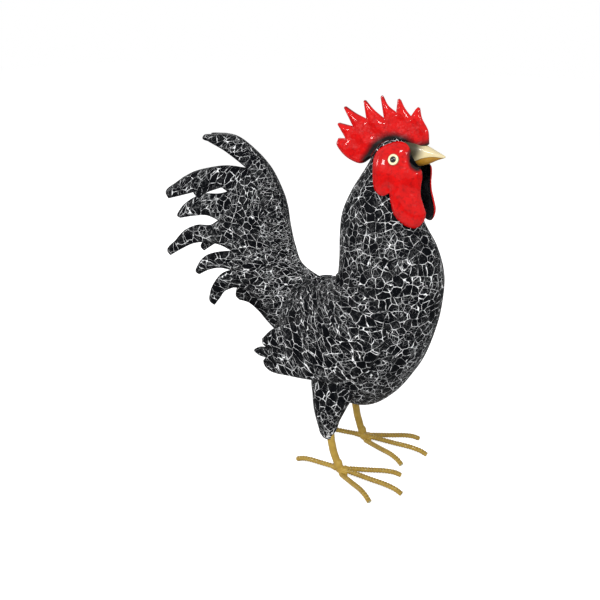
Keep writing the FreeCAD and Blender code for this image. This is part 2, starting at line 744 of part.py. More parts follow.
def leg(side, word):
    """Thigh, leg rod, weld and four toes. The side is 1 on the left, -1 on the right."""
    lean = size(f"leg_lean_{word}")
    turn = size(f"foot_turn_{word}")
    splay = size("toe_splay")
    title = word.capitalize()
    knee = Vector(
        body_x(KNEE_SHARE) - side * size("knee_stride") / 2,
        side * size("leg_spacing") / 2 - size("stance_offset"),
        size("belly_height") - size(f"knee_drop_{word}"),
    )
    knee_height = f"(Sizes.belly_height - Sizes.knee_drop_{word})"
    ankle = Vector(knee.x + lean, knee.y, 0)

    thigh_ribs = side_ribs(THIGH_RIB_SHARES, "thigh", knee, side)
    outer = skin(f"Thigh{title}Outer", thigh_ribs, THIGH_SIDES)
    inner = skin(f"Thigh{title}Inner", grown(thigh_ribs, -wall), THIGH_SIDES)
    shell = cut(f"Thigh{title}Shell", outer, inner)
    seated = cut(f"Thigh{title}Seated", shell, body_seat)
    below = Vector(knee.x, knee.y, knee.z - size("overrun"))
    hole = bore(f"Thigh{title}Hole", "Sizes.leg_diameter", below, Vector(0, 0, 1))
    keep(cut(f"Thigh{title}", seated, hole), f"thigh_cone_{word}")

    bar = rod(
        f"Leg{title}Rod",
        [
            (None, f"{knee_height} + Sizes.thigh_height"),
            (None, knee_height),
            (f"Sizes.leg_lean_{word}", "Sizes.ankle_height / 2"),
        ],
        "Sizes.leg_diameter",
        "XY_Plane",
        f"{knee_height} + Sizes.thigh_height",
    )
    bar.Placement.Base = Vector(knee.x, knee.y, 0)
    keep(cut(f"Leg{title}", bar, body_seat), f"leg_rod_{word}")

    weld_base = Vector(ankle.x, ankle.y, 0)
    bead = skin(f"Weld{title}Bead", side_ribs(WELD_RIB_SHARES, "weld", weld_base, side), SMALL_SIDES)
    up = Vector(-lean, 0, knee.z - size("ankle_height") / 2).normalize()
    foot = Vector(ankle.x, ankle.y, size("ankle_height") / 2) - up * size("overrun")
    bead = cut(f"Weld{title}OnLeg", bead, bore(f"Weld{title}LegHole", "Sizes.leg_diameter", foot, up))

    # The toe on the bird's right side of each foot is welded on below the others
    headings = {
        "inner": side * (turn - splay),
        "middle": side * turn,
        "outer": side * (turn + splay),
        "hind": 180 + size(f"hind_turn_{word}"),
    }
    for which, yaw in headings.items():
        name = f"Toe{which.capitalize()}{title}"
        length = f"toe_{which}_length"
        root = "toe_root" if which in ("middle", "hind") else "side_toe_root"
        low = which == ("outer" if side < 0 else "inner")
        root_height = "Sizes.ankle_height"
        climb = 0
        if low:
            root = "low_toe_root"
            root_height = "Sizes.toe_diameter / 2 - Sizes.ground_flat"
            lift = size("ankle_height") - size("toe_diameter") / 2 + size("ground_flat")
            climb = lift / (size(length) - size("toe_crook") - size(root))
        toe(name, f"toe_{which}_{word}", length, "Sizes." + root, root_height, yaw, ankle)
        heading = Rotation(Vector(0, 0, 1), yaw).multVec(Vector(1, 0, climb)).normalize()
        bend = Rotation(Vector(0, 0, 1), yaw).multVec(Vector(size(length) - size("toe_crook"), 0, 0))
        start = ankle + bend + Vector(0, 0, size("ankle_height"))
        start -= heading * (size(length) - size("toe_crook"))
        bead = cut(name + "Welded", bead, bore(name + "Hole", "Sizes.toe_diameter", start, heading))
    keep(bead, f"foot_weld_{word}")


leg(-1, "right")
leg(1, "left")

doc.recompute()
for obj in doc.Objects:
    if "Invalid" in obj.State or "Error" in obj.State:
        raise RuntimeError(f"{obj.Name} did not build: {obj.State}")
os.makedirs("parts", exist_ok=True)
for node in part_nodes:
    shape = node.Shape
    if shape.isNull() or not shape.isValid() or not shape.Solids:
        raise RuntimeError(f"{node.Label} is not a valid solid")
    shape.exportStep(f"parts/{node.Label}.step")
    print(node.Label, len(shape.Solids), round(shape.Volume))
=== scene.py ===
import math

import bpy
import numpy as np
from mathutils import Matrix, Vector, noise
from mathutils.geometry import delaunay_2d_cdt
from numpy.linalg import norm

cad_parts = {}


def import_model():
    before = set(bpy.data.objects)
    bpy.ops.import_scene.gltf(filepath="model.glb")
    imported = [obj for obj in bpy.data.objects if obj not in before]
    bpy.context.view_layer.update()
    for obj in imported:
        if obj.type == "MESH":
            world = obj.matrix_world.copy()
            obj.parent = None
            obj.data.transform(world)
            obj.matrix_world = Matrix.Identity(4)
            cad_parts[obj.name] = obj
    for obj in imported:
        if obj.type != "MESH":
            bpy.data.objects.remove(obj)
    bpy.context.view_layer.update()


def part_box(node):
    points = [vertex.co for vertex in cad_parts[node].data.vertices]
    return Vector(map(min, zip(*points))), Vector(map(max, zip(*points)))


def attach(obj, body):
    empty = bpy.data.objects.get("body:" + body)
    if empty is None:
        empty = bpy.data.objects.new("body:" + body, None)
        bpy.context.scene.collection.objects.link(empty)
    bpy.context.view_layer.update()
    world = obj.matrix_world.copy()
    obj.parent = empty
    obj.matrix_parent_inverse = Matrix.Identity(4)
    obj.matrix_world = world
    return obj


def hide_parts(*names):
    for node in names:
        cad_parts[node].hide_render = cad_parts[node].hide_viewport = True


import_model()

# Metres. X points forward to the beak, Y to the bird's left and Z up.
MM = 0.001

# The body's own frame, from the box of its right half
RUMP_SHARE = -0.020
body_low, body_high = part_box("body_shell_right")
BODY_LENGTH = (body_high.x - body_low.x) / (1 - RUMP_SHARE)
BODY_RISE = body_high.z - body_low.z
BODY_HALF = -body_low.y


def body_x(share):
    return body_high.x - BODY_LENGTH * (1 - share)


def body_z(share):
    return body_low.z + BODY_RISE * share


# Driving sizes of the other pieces
WALL = 1.0 * MM
GAP = 0.3 * MM
WING_LENGTH = 169 * MM
WING_DEPTH = 127 * MM
FACE_LENGTH = 61 * MM
FACE_HEIGHT = 86 * MM
COMB_LENGTH = 108 * MM
COMB_HEIGHT = 73 * MM
COMB_ROOT_HALF = 7.5 * MM
COMB_TIP_HALF = 2.5 * MM
BEAK_LENGTH = 42 * MM
BEAK_DEPTH = 27 * MM
BEAK_WIDTH = 21 * MM
SADDLE_LENGTH = 64 * MM
SADDLE_HEIGHT = 68 * MM
TAIL_REACH = 219 * MM
TAIL_RISE = 160 * MM
TAIL_HALF = 39 * MM
LEFT_FAN_DROOP = math.radians(3)
EYE_RADIUS = 5.9 * MM
THIGH_HEIGHT = 87 * MM
THIGH_LENGTH = 62 * MM
THIGH_DEPTH = 36 * MM
KNEE_STRIDE = 10.5 * MM
LEG_RADIUS = 4.6 * MM
LEG_SPACING = 84 * MM
STANCE_OFFSET = 1 * MM
ANKLE_HEIGHT = 6.5 * MM
TOE_RADIUS = 2.5 * MM
TOE_CROOK = 15 * MM

# Height of each sheet's dome, and how far in from the rim it rises
WING_DOME = (3.6 * MM, 7 * MM)
FACE_DOME = (3.0 * MM, 6 * MM)
FAN_DOME = (3.4 * MM, 9 * MM)
SICKLE_DOME = (3.2 * MM, 10 * MM)
SADDLE_DOME = (0.8 * MM, 4 * MM)

# Ribs from the head to the rump: back point, breast point and half width, as
# shares of the body's length, rise and half width
BODY_RIB_SHARES = (
    (0.672, 1.0, 0.787, 0.984, 0.16),
    (0.605, 0.972, 0.835, 0.959, 0.27),
    (0.56, 0.918, 0.84, 0.908, 0.34),
    (0.508, 0.864, 0.818, 0.852, 0.38),
    (0.45, 0.801, 0.846, 0.792, 0.425),
    (0.408, 0.729, 0.88, 0.719, 0.51),
    (0.396, 0.647, 0.957, 0.644, 0.63),
    (0.402, 0.56, 0.997, 0.562, 0.75),
    (0.392, 0.488, 1.003, 0.467, 0.857),
    (0.34, 0.452, 0.974, 0.345, 0.946),
    (0.3, 0.441, 0.895, 0.204, 1.0),
    (0.221, 0.451, 0.766, 0.077, 1.0),
    (0.163, 0.444, 0.6, 0.0, 0.946),
    (0.106, 0.418, 0.403, 0.019, 0.82),
    (0.048, 0.372, 0.259, 0.063, 0.64),
    (0.0, 0.322, 0.154, 0.132, 0.43),
    (-0.02, 0.28, 0.08, 0.18, 0.25),
)
WING_RIB_SHARES = (
    (0.405, 0.562, 0.989, 0.562, 0.77),
    (0.394, 0.497, 1.0, 0.467, 0.882),
    (0.338, 0.468, 0.971, 0.35, 0.975),
    (0.3, 0.454, 0.886, 0.215, 1.045),
    (0.221, 0.461, 0.75, 0.085, 1.063),
    (0.144, 0.448, 0.585, 0.006, 1.07),
    (0.058, 0.423, 0.422, -0.005, 1.08),
    (-0.029, 0.391, 0.278, 0.0, 1.07),
    (-0.125, 0.353, 0.144, 0.01, 1.035),
    (-0.29, 0.3, -0.02, 0.01, 0.98),
)
WING_CORNER_SHARE = (-0.024, 0.114)
# An outline is a row of smooth strokes, each from the end of the one before, in
# shares of the piece's length and height from its lower rear corner
WING_OUTLINE_SHARES = (
    ((0.566, 0.866), (0.457, 0.7), (0.306, 0.559), (0.139, 0.433), (0.07, 0.33)),
    ((0.08, 0.285), (0.11, 0.265)),
    ((0.05, 0.245), (0.003, 0.19), (0.04, 0.16), (0.106, 0.155)),
    ((0.08, 0.105), (0.088, 0.055), (0.13, 0.012), (0.2, 0.004), (0.292, 0.018), (0.434, 0.036),
     (0.68, 0.085), (0.83, 0.18), (0.936, 0.362), (1.0, 0.64), (0.975, 0.79), (0.896, 0.92), (0.77, 1.0),
     (0.665, 0.976)),
)
WING_GROOVE_SHARES = (
    ((0.11, 0.265), (0.25, 0.3), (0.4, 0.33)),
    ((0.105, 0.115), (0.25, 0.15), (0.4, 0.2)),
)

# Cheek ribs: height, half length and half width shares
FACE_RIB_SHARES = (
    (1.022, 0.182, 0.06),
    (1.0, 0.192, 0.193),
    (0.965, 0.202, 0.304),
    (0.915, 0.202, 0.379),
    (0.858, 0.202, 0.405),
    (0.795, 0.221, 0.45),
    (0.726, 0.23, 0.482),
    (0.681, 0.23, 0.464),
)
FACE_MIDDLE_SHARE = 0.715
FACE_CORNER_SHARE = (0.624, 0.726)
FACE_OUTLINE_SHARES = (
    ((0.748, 0.73), (0.84, 0.697), (0.867, 0.609), (0.858, 0.497), (0.871, 0.39), (0.928, 0.269),
     (0.972, 0.159), (0.942, 0.058), (0.862, -0.005), (0.744, 0.0), (0.611, 0.051), (0.476, 0.145),
     (0.41, 0.262), (0.355, 0.395)),
    ((0.242, 0.351), (0.14, 0.364), (0.045, 0.428), (0.0, 0.544), (-0.017, 0.679), (-0.01, 0.791),
     (0.047, 0.88), (0.247, 0.973), (0.419, 1.0), (0.574, 0.966), (0.645, 0.902), (0.65, 0.785)),
)
FACE_GROOVE_SHARES = (((0.355, 0.395), (0.33, 0.5), (0.345, 0.62)),)
EYE_SHARE = (0.405, 0.79)

COMB_CORNER_SHARE = (0.354, 0.905)
COMB_OUTLINE_SHARES = (
    ((0.845, 0.18),), ((1.0, 0.37),), ((0.985, 0.55), (0.909, 0.74), (0.89, 0.855)),
    ((0.87, 0.87), (0.845, 0.84)), ((0.8, 0.74),), ((0.735, 0.84), (0.69, 0.95)),
    ((0.67, 0.968), (0.655, 0.955)), ((0.645, 0.781),), ((0.555, 0.87), (0.505, 0.985)),
    ((0.49, 1.0), (0.473, 0.975)), ((0.518, 0.685),), ((0.4, 0.8), (0.318, 0.915)),
    ((0.298, 0.918), (0.29, 0.9)), ((0.327, 0.658),), ((0.21, 0.725), (0.1, 0.81)),
    ((0.08, 0.808), (0.073, 0.785)), ((0.18, 0.534),), ((0.025, 0.57),), ((0.008, 0.56), (0.007, 0.535)),
    ((0.1, 0.35),), ((0.02, 0.345),), ((0.0, 0.27), (0.06, 0.14), (0.18, 0.03), (0.29, 0.0), (0.4, 0.1)),
)

BEAK_CORNER_SHARE = (0.768, 0.915)
# Along, top, underside and half width shares
BEAK_RIB_SHARES = (
    (-0.15, 1.02, -0.02, 0.5),
    (0.0, 1.0, 0.0, 0.5),
    (0.37, 0.926, 0.037, 0.43),
    (0.6, 0.778, 0.148, 0.31),
    (0.84, 0.61, 0.333, 0.165),
    (1.0, 0.5, 0.426, 0.05),
)
MOUTH_LINE_SHARES = ((-0.2, 0.1), (0.256, 0.22), (0.45, 0.37), (0.63, 0.444), (1.1, 0.4))

# Lines where the comb and the beak meet the head, as shares of the body's
# length and rise
COMB_FOOT_SHARES = (
    (0.545, 0.915), (0.56, 0.935), (0.585, 0.962), (0.625, 0.986), (0.69, 1.003), (0.76, 0.994),
    (0.82, 0.978), (0.885, 0.988),
)
BEAK_FOOT_SHARES = ((0.834, 0.985), (0.828, 0.955), (0.84, 0.93), (0.862, 0.918))

TAIL_ROOT_SHARE = (0.288, 0.48)
# Middle of the trailing tips, leading point and half width, as shares of the
# tail's reach and rise from its root and of its half spread
TAIL_RIB_SHARES = (
    (0.152, -0.575, -0.071, -0.13, 0.24),
    (0.259, -0.463, 0.0, -0.05, 0.3),
    (0.487, -0.425, 0.142, 0.043, 0.48),
    (0.696, -0.288, 0.199, 0.175, 0.7),
    (0.866, -0.106, 0.229, 0.319, 0.84),
    (0.982, 0.113, 0.249, 0.456, 0.87),
    (1.0, 0.331, 0.284, 0.588, 0.82),
    (0.973, 0.519, 0.339, 0.713, 0.72),
    (0.92, 0.688, 0.429, 0.831, 0.56),
    (0.844, 0.838, 0.545, 0.931, 0.36),
    (0.85, 0.9, 0.665, 0.95, 0.26),
    (0.87, 0.94, 0.75, 0.925, 0.14),
)
FAN_OUTLINE_SHARES = (
    ((0.04, 0.27), (0.116, 0.425), (0.143, 0.581), (0.219, 0.738), (0.353, 0.875)),
    ((0.457, 0.718),),
    ((0.51, 0.738), (0.571, 0.741), (0.68, 0.714), (0.79, 0.668), (0.899, 0.58), (0.981, 0.474),
     (0.96, 0.44)),
    ((0.86, 0.481), (0.76, 0.527), (0.695, 0.568), (0.64, 0.582), (0.595, 0.572)),
    ((0.566, 0.55),),
    ((0.6, 0.535), (0.712, 0.514), (0.809, 0.45), (0.87, 0.375), (0.892, 0.313), (0.87, 0.303)),
    ((0.765, 0.338), (0.68, 0.352), (0.614, 0.328)),
    ((0.655, 0.29), (0.757, 0.268), (0.83, 0.222), (0.905, 0.125), (0.977, 0.004), (0.957, -0.018)),
    ((0.868, 0.055), (0.775, 0.119), (0.665, 0.144), (0.59, 0.132), (0.533, 0.102)),
    ((0.57, 0.094), (0.625, 0.077), (0.697, 0.036), (0.757, -0.05), (0.777, -0.121), (0.756, -0.135)),
    ((0.68, -0.078), (0.603, -0.05), (0.545, -0.055)),
    ((0.59, -0.083), (0.655, -0.175), (0.693, -0.268), (0.703, -0.365), (0.677, -0.385)),
    ((0.637, -0.32), (0.594, -0.245), (0.535, -0.2)),
    ((0.47, -0.196), (0.408, -0.242), (0.343, -0.333), (0.275, -0.42)),
    ((0.107, -0.513),),
    ((-0.116, -0.325),),
    ((-0.116, 0.113),),
)
# The left fan hangs a little, and its lowest feather runs down to the rump
LEFT_FAN_OUTLINE_SHARES = (
    *FAN_OUTLINE_SHARES[:3],
    ((0.86, 0.5), (0.76, 0.545), (0.695, 0.58), (0.64, 0.588), (0.595, 0.572)),
    *FAN_OUTLINE_SHARES[4:12],
    ((0.6, -0.39), (0.52, -0.44), (0.45, -0.505), (0.37, -0.568)),
    ((0.26, -0.602), (0.16, -0.604)),
    ((-0.116, -0.325),),
    FAN_OUTLINE_SHARES[-1],
)
FAN_GROOVE_SHARES = (
    ((0.58, 0.56), (0.47, 0.53), (0.33, 0.38)),
    ((0.614, 0.328), (0.45, 0.29), (0.3, 0.17)),
    ((0.533, 0.102), (0.4, 0.08), (0.27, 0.0)),
    ((0.545, -0.055), (0.42, -0.05), (0.28, -0.1)),
    ((0.535, -0.2), (0.42, -0.15), (0.27, -0.18)),
)
SICKLE_OUTLINE_SHARES = (
    ((0.0, 0.1), (0.134, 0.29), (0.16, 0.55), (0.28, 0.83), (0.42, 0.99), (0.56, 1.06), (0.7, 1.04),
     (0.757, 0.955)),
    ((0.762, 0.91), (0.718, 0.892)),
    ((0.606, 0.838), (0.521, 0.778), (0.456, 0.725)),
    ((0.411, 0.644), (0.366, 0.5), (0.321, 0.35), (0.25, 0.17), (0.11, -0.04)),
    ((-0.04, -0.1),),
)
SADDLE_CORNER_SHARE = (0.16, 0.305)
SADDLE_OUTLINE_SHARES = (
    ((0.7, 0.93), (0.42, 0.84), (0.15, 0.64), (0.05, 0.46)),
    ((0.25, 0.35), (0.46, 0.25)),
    ((0.66, 0.4), (0.82, 0.56), (0.92, 0.7)),
    ((0.95, 0.81), (0.88, 0.9)),
)

# Height, rear, front and half depth, and inward shift of the thigh
THIGH_RIB_SHARES = (
    (0.0, -0.089, 0.089, 0.153, 0.0),
    (0.092, -0.2, 0.075, 0.217, 0.0),
    (0.172, -0.24, 0.125, 0.29, 0.014),
    (0.31, -0.3, 0.17, 0.36, 0.03),
    (0.494, -0.37, 0.28, 0.43, 0.055),
    (0.655, -0.412, 0.39, 0.486, 0.11),
    (0.816, -0.478, 0.47, 0.5, 0.22),
    (1.0, -0.465, 0.485, 0.444, 0.39),
)
KNEE_SHARE = 0.434
# Where the cone's lip lies between its first two ribs
THIGH_LIP = 0.5


def unit(vectors):
    """The vectors at length 1."""
    return vectors / np.maximum(norm(vectors, axis=-1, keepdims=True), 1e-12)


def run_along(points):
    """The way along the line of points up to each of them."""
    return np.concatenate([[0], np.cumsum(norm(np.diff(points, axis=0), axis=1))])


def full_turn(count):
    return np.linspace(0, 2 * math.pi, count, endpoint=False)


def up(height):
    return np.array([0, 0, height])


def spline(values, knots, t):
    """Smooth values at t through the rows of values at the knots."""
    values = np.asarray(values, float)
    knots = np.asarray(knots, float)
    slope = np.gradient(values, knots, axis=0)
    t = np.clip(np.asarray(t, float), knots[0], knots[-1])
    row = np.clip(np.searchsorted(knots, t, side="right") - 1, 0, len(knots) - 2)
    width = (knots[row + 1] - knots[row])[..., None]
    s = ((t - knots[row])[..., None]) / width
    near = (1 + 2 * s) * (1 - s) ** 2 * values[row] + s * (1 - s) ** 2 * width * slope[row]
    far = s**2 * (3 - 2 * s) * values[row + 1] - s**2 * (1 - s) * width * slope[row + 1]
    return near + far


def smooth_line(points, step):
    """Points about a step apart along a smooth curve, without its last point."""
    chord = run_along(points)
    count = max(2, int(round(chord[-1] / step)))
    t = np.linspace(0, chord[-1], count + 1)[:-1]
    return spline(points, chord, t)


class Form:
    """A smooth sheet form over elliptical ribs in a row.

    A place on it is u, the position along the row of ribs, and the turn from
    a rib's start (0) over the bird's right side to its end (pi). A rib is its
    start x and z, its end x and z, its half width and maybe its middle's y. A
    keen form is sharper than an ellipse at the start.
    """

    SAMPLES = 500

    def __init__(self, ribs, keen=1.0):
        self.keen = keen
        self.ribs = np.zeros((len(ribs), 6))
        self.ribs[:, :len(ribs[0])] = ribs
        self.knots = np.arange(len(ribs))
        self.grid = np.linspace(0, self.knots[-1], self.SAMPLES)
        start, end, half, _ = self.rib(self.grid)
        self.run = run_along((start + end) / 2)
        depth = norm(start - end, axis=1) / 2
        root = np.sqrt((3 * depth + half) * (depth + 3 * half))
        self.girth = math.pi * (3 * (depth + half) - root) / 2
        self.start, self.end = start, end

    def rib(self, u):
        row = spline(self.ribs, self.knots, u)
        return row[..., 0:2], row[..., 2:4], row[..., 4], row[..., 5]

    def point(self, u, turn):
        start, end, half, middle_y = self.rib(u)
        middle = (start + end) / 2
        flat = middle + (start - middle) * np.cos(turn)[..., None]
        swell = np.sin(turn)
        if self.keen != 1.0:
            swell = np.where(turn < math.pi / 2, np.abs(swell) ** self.keen, swell)
        return np.stack([flat[..., 0], middle_y - half * swell, flat[..., 1]], -1)

    def normal(self, u, turn):
        small = 1e-3
        inside = np.clip(u, small, self.knots[-1] - small)
        along = self.point(inside + small, turn) - self.point(inside - small, turn)
        across = self.point(u, turn + small) - self.point(u, turn - small)
        normal = unit(np.cross(along, across))
        start, end, _, middle_y = self.rib(u)
        middle = (start + end) / 2
        centre = np.stack([middle[..., 0], middle_y, middle[..., 1]], -1)
        outward = np.sum(normal * (self.point(u, turn) - centre), axis=-1)
        return normal * np.where(outward < 0, -1.0, 1.0)[..., None]

    def find(self, x, z):
        """Place on the form under a point of the side view."""
        run = self.end - self.start
        off = np.array([x, z]) - self.start
        side = run[:, 0] * off[:, 1] - run[:, 1] * off[:, 0]
        share = np.sum(off * run, axis=1) / np.sum(run * run, axis=1)
        crossing = np.nonzero(np.sign(side[:-1]) != np.sign(side[1:]))[0]
        if len(crossing):
            best = crossing[np.argmin(np.abs(share[crossing] - 0.5))]
            part = side[best] / (side[best] - side[best + 1])
            u = self.grid[best] + part * (self.grid[best + 1] - self.grid[best])
            share = share[best] + part * (share[best + 1] - share[best])
        else:
            best = np.argmin(np.abs(side) / norm(run, axis=1))
            u, share = self.grid[best], share[best]
        return u, np.arccos(np.clip(1 - 2 * share, -1, 1))

    def flatten(self, u, turn):
        """The place as a point of the unrolled sheet, in metres."""
        girth = np.interp(u, self.grid, self.girth)
        return np.column_stack([np.interp(u, self.grid, self.run), (turn / math.pi - 0.5) * girth])

    def unflatten(self, flat):
        u = np.interp(flat[:, 0], self.run, self.grid)
        girth = np.interp(u, self.grid, self.girth)
        return u, np.clip((flat[:, 1] / girth + 0.5) * math.pi, 0, math.pi)


def inside(points, loop):
    """Which points lie inside a closed loop."""
    x, y = points[:, 0][:, None], points[:, 1][:, None]
    ax, ay = loop[:, 0], loop[:, 1]
    bx, by = np.roll(ax, -1), np.roll(ay, -1)
    rise = np.where(by == ay, 1e-12, by - ay)
    hit = ((ay > y) != (by > y)) & (x < (bx - ax) * (y - ay) / rise + ax)
    return np.sum(hit, axis=1) % 2 == 1


def least_distance(points, others):
    """Distance from each point to the nearest of the others."""
    result = np.empty(len(points))
    for first in range(0, len(points), 2000):
        block = points[first:first + 2000]
        gaps = norm(block[:, None] - others[None], axis=-1)
        result[first:first + 2000] = gaps.min(axis=1)
    return result


def region(loop, step, rings=()):
    """Triangles that fill a closed loop, with rings of points just inside it."""
    low, high = loop.min(0), loop.max(0)
    rows = np.arange(low[1], high[1], step * 0.866)
    fill = []
    for index, y in enumerate(rows):
        shift = step / 2 * (index % 2)
        xs = np.arange(low[0] + shift, high[0], step)
        fill.append(np.column_stack([xs, np.full(len(xs), y)]))
    fill = np.concatenate(fill)
    fill = fill[inside(fill, loop)]
    outer = max(rings, default=0)
    kept = [fill[least_distance(fill, loop) > outer + step * 0.6]]
    ahead = unit(np.roll(loop, -1, axis=0) - np.roll(loop, 1, axis=0))
    across = np.column_stack([-ahead[:, 1], ahead[:, 0]])
    area = np.sum(loop[:, 0] * np.roll(loop[:, 1], -1) - np.roll(loop[:, 0], -1) * loop[:, 1])
    for depth in rings:
        ring = loop + across * depth * np.sign(area)
        ring = ring[inside(ring, loop)]
        kept.append(ring[least_distance(ring, loop) > depth * 0.93])
    points = np.concatenate([loop] + kept)
    points, _, faces, *_ = delaunay_2d_cdt(
        [Vector(point) for point in points], [], [list(range(len(loop)))], 1, 1e-7
    )
    return np.array([tuple(point) for point in points]), [list(face) for face in faces]


def facing(points, faces, outward):
    """The faces turned so that they look along the outward directions."""
    turned = []
    for face in faces:
        a, b, c = points[face[0]], points[face[1]], points[face[2]]
        flip = np.dot(np.cross(b - a, c - a), outward[face[0]]) < 0
        turned.append(face[::-1] if flip else face)
    return turned


def open_edges(faces):
    """Edges with one face only, in the direction of that face."""
    seen = set()
    for face in faces:
        seen.update(zip(face, face[1:] + face[:1]))
    return [edge for edge in seen if edge[::-1] not in seen]


def closed_shell(top, faces, under):
    """A closed mesh of a top sheet, an under sheet and the rim between them."""
    count = len(top)
    lower = [[index + count for index in reversed(face)] for face in faces]
    rim = [[b, a, a + count, b + count] for a, b in open_edges(faces)]
    slots = [0] * len(faces) + [2] * len(lower) + [1] * len(rim)
    return np.concatenate([top, under]), faces + lower + rim, slots


def ring_faces(rows, count, closed=True, last_cap=True):
    """Quads between rows of points. Closed rings also get a face over each end."""
    faces = []
    for row in range(rows - 1):
        for side in range(count if closed else count - 1):
            a, b = row * count + side, row * count + (side + 1) % count
            faces.append([a, b, b + count, a + count])
    if closed:
        faces.append(list(range(count))[::-1])
    if closed and last_cap:
        faces.append([(rows - 1) * count + side for side in range(count)])
    return faces


def turned_out(points, faces, index, centre):
    """The faces, all turned over where the face at the index looks at its centre."""
    face = faces[index]
    a, b, c = (points[corner] for corner in face[:3])
    inward = np.dot(np.cross(b - a, c - a), a - centre[face[0]]) < 0
    return [face[::-1] for face in faces] if inward else faces


def new_mesh(name, points, faces):
    mesh = bpy.data.meshes.new(name)
    mesh.from_pydata([tuple(point) for point in points], [], faces)
    return mesh


def add_object(name, data):
    made = bpy.data.objects.new(name, data)
    bpy.context.scene.collection.objects.link(made)
    return made


def make_piece(name, mesh, paints, node, shade=0.0, grain=None, angle=45):
    """A mesh object that rides on the body, with its paints and attributes.

    The shades of a sheet's top side count for its under side too.
    """
    points, faces, slots = mesh
    mesh = new_mesh(name, points, faces)
    mesh.polygons.foreach_set("material_index", np.resize(slots, len(faces)))
    for paint in paints:
        mesh.materials.append(paint)
    shades = np.resize(shade, len(points)).astype(np.float32)
    mesh.attributes.new("shade", "FLOAT", "POINT").data.foreach_set("value", shades)
    grains = points if grain is None else grain
    attribute = mesh.attributes.new("grain", "FLOAT_VECTOR", "POINT")
    attribute.data.foreach_set("vector", np.asarray(grains, np.float32).ravel())
    mesh.polygons.foreach_set("use_smooth", [True] * len(faces))
    mesh.update()
    mesh.set_sharp_from_angle(angle=math.radians(angle))
    piece = add_object(name, mesh)
    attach(piece, "root")
    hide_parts(node)


def mirrored(mesh, grain, hang=0.0):
    """The mesh on the bird's other side, which may hang by a turn about the tail's root."""
    points, faces, slots = mesh
    mirror = points * (1, -1, 1)
    x, z = mirror[:, 0] - tail_root[0], mirror[:, 2] - tail_root[1]
    mirror[:, 0] = tail_root[0] + x * math.cos(hang) - z * math.sin(hang)
    mirror[:, 2] = tail_root[1] + x * math.sin(hang) + z * math.cos(hang)
    mesh = mirror, [face[::-1] for face in faces], slots
    return mesh, grain * (1, -1, 1) + np.array([0, 0.5, 0])


def make_pair(name, mesh, paints, shade=0.0, grain=None, angle=45):
    """The piece of the bird's right side and its mirror image on the left."""
    grain = mesh[0] if grain is None else grain
    make_piece(name + "_right", mesh, paints, name + "_right", shade, grain, angle)
    mesh, grain = mirrored(mesh, grain)
    make_piece(name + "_left", mesh, paints, name + "_left", shade, grain, angle)


def lumps(points, scale, height):
    """Soft uneven heights over the points, as hand-pressed sheet has."""
    return np.array([noise.noise(Vector(point) * scale) for point in points]) * height


def smoothstep(value, low, high):
    t = np.clip((value - low) / (high - low), 0, 1)
    return t * t * (3 - 2 * t)


def fade(value, low, high):
    return 1 - smoothstep(value, low, high)


def outline_of(strokes, place, step):
    """Points round an outline, whose strokes start where the ones before them end."""
    ends = [stroke[-1] for stroke in strokes]
    lines = [(start, *stroke) for start, stroke in zip(ends[-1:] + ends[:-1], strokes)]
    return np.concatenate([smooth_line([place(*share) for share in line], step) for line in lines])


def corner_place(corner_share, length, height):
    left, foot = body_x(corner_share[0]), body_z(corner_share[1])
    return lambda x, z: (left + length * x, foot + height * z)


# A place this near the seam doesn't count as a free rim
SEAM_TURN = 0.02
SHEET_STEP = 1.5 * MM


def plate(form, strokes, place, dome, step=SHEET_STEP, stand=0.0, grooves=(), extra=None, stretch=(1, 1),
          seam_fade=14 * MM, uneven=(1, 0)):
    """A domed sheet on a form, cut to an outline, with its grain and its points' places.

    The dome is its height and how far in it rises. Uneven is the scale and
    height of its lumps. Extra heights come from u, turn and rim distance.
    """
    dome, reach = dome
    outline = outline_of(strokes, place, step)
    found = np.array([form.find(*point) for point in outline])
    loop = form.flatten(found[:, 0], found[:, 1])
    keep = norm(loop - np.roll(loop, 1, axis=0), axis=1) > step * 0.05
    found, loop = found[keep], loop[keep]
    flat, faces = region(loop, step)
    u, turn = form.unflatten(flat)
    base, normal = form.point(u, turn), form.normal(u, turn)
    free = found[(found[:, 1] > SEAM_TURN) & (found[:, 1] < math.pi - SEAM_TURN)]
    rim = form.point(free[:, 0], free[:, 1])
    distance = least_distance(base, rim)
    depth = distance.copy()
    for line in grooves:
        points = smooth_line([place(*share) for share in line], step)
        for point, share in zip(points, np.linspace(0, 1, len(points))):
            bottom = form.point(*form.find(*point))
            depth = np.minimum(depth, norm(base - bottom, axis=1) + reach * share**1.5)
    t = np.clip(depth / reach, 0, 1)
    girth = np.interp(u, form.grid, form.girth)
    to_seam = np.minimum(turn, math.pi - turn) / math.pi * girth
    height = (stand + dome * (1 - (1 - t) ** 2)) * smoothstep(to_seam, 0, seam_fade) + lumps(base, *uneven)
    if extra:
        height += extra(u, turn, distance)
    top = base + normal * height[:, None]
    under = top - normal * WALL
    top[:, 1] = np.minimum(top[:, 1], 0)
    under[:, 1] = np.minimum(under[:, 1], 0)
    faces = facing(top, faces, normal)
    mesh = closed_shell(top, faces, under)
    grain = np.column_stack([flat * stretch, np.zeros(len(flat))])
    data = {"u": u, "turn": turn, "depth": depth, "base": base}
    return mesh, np.concatenate([grain, grain + up(0.5)]), data


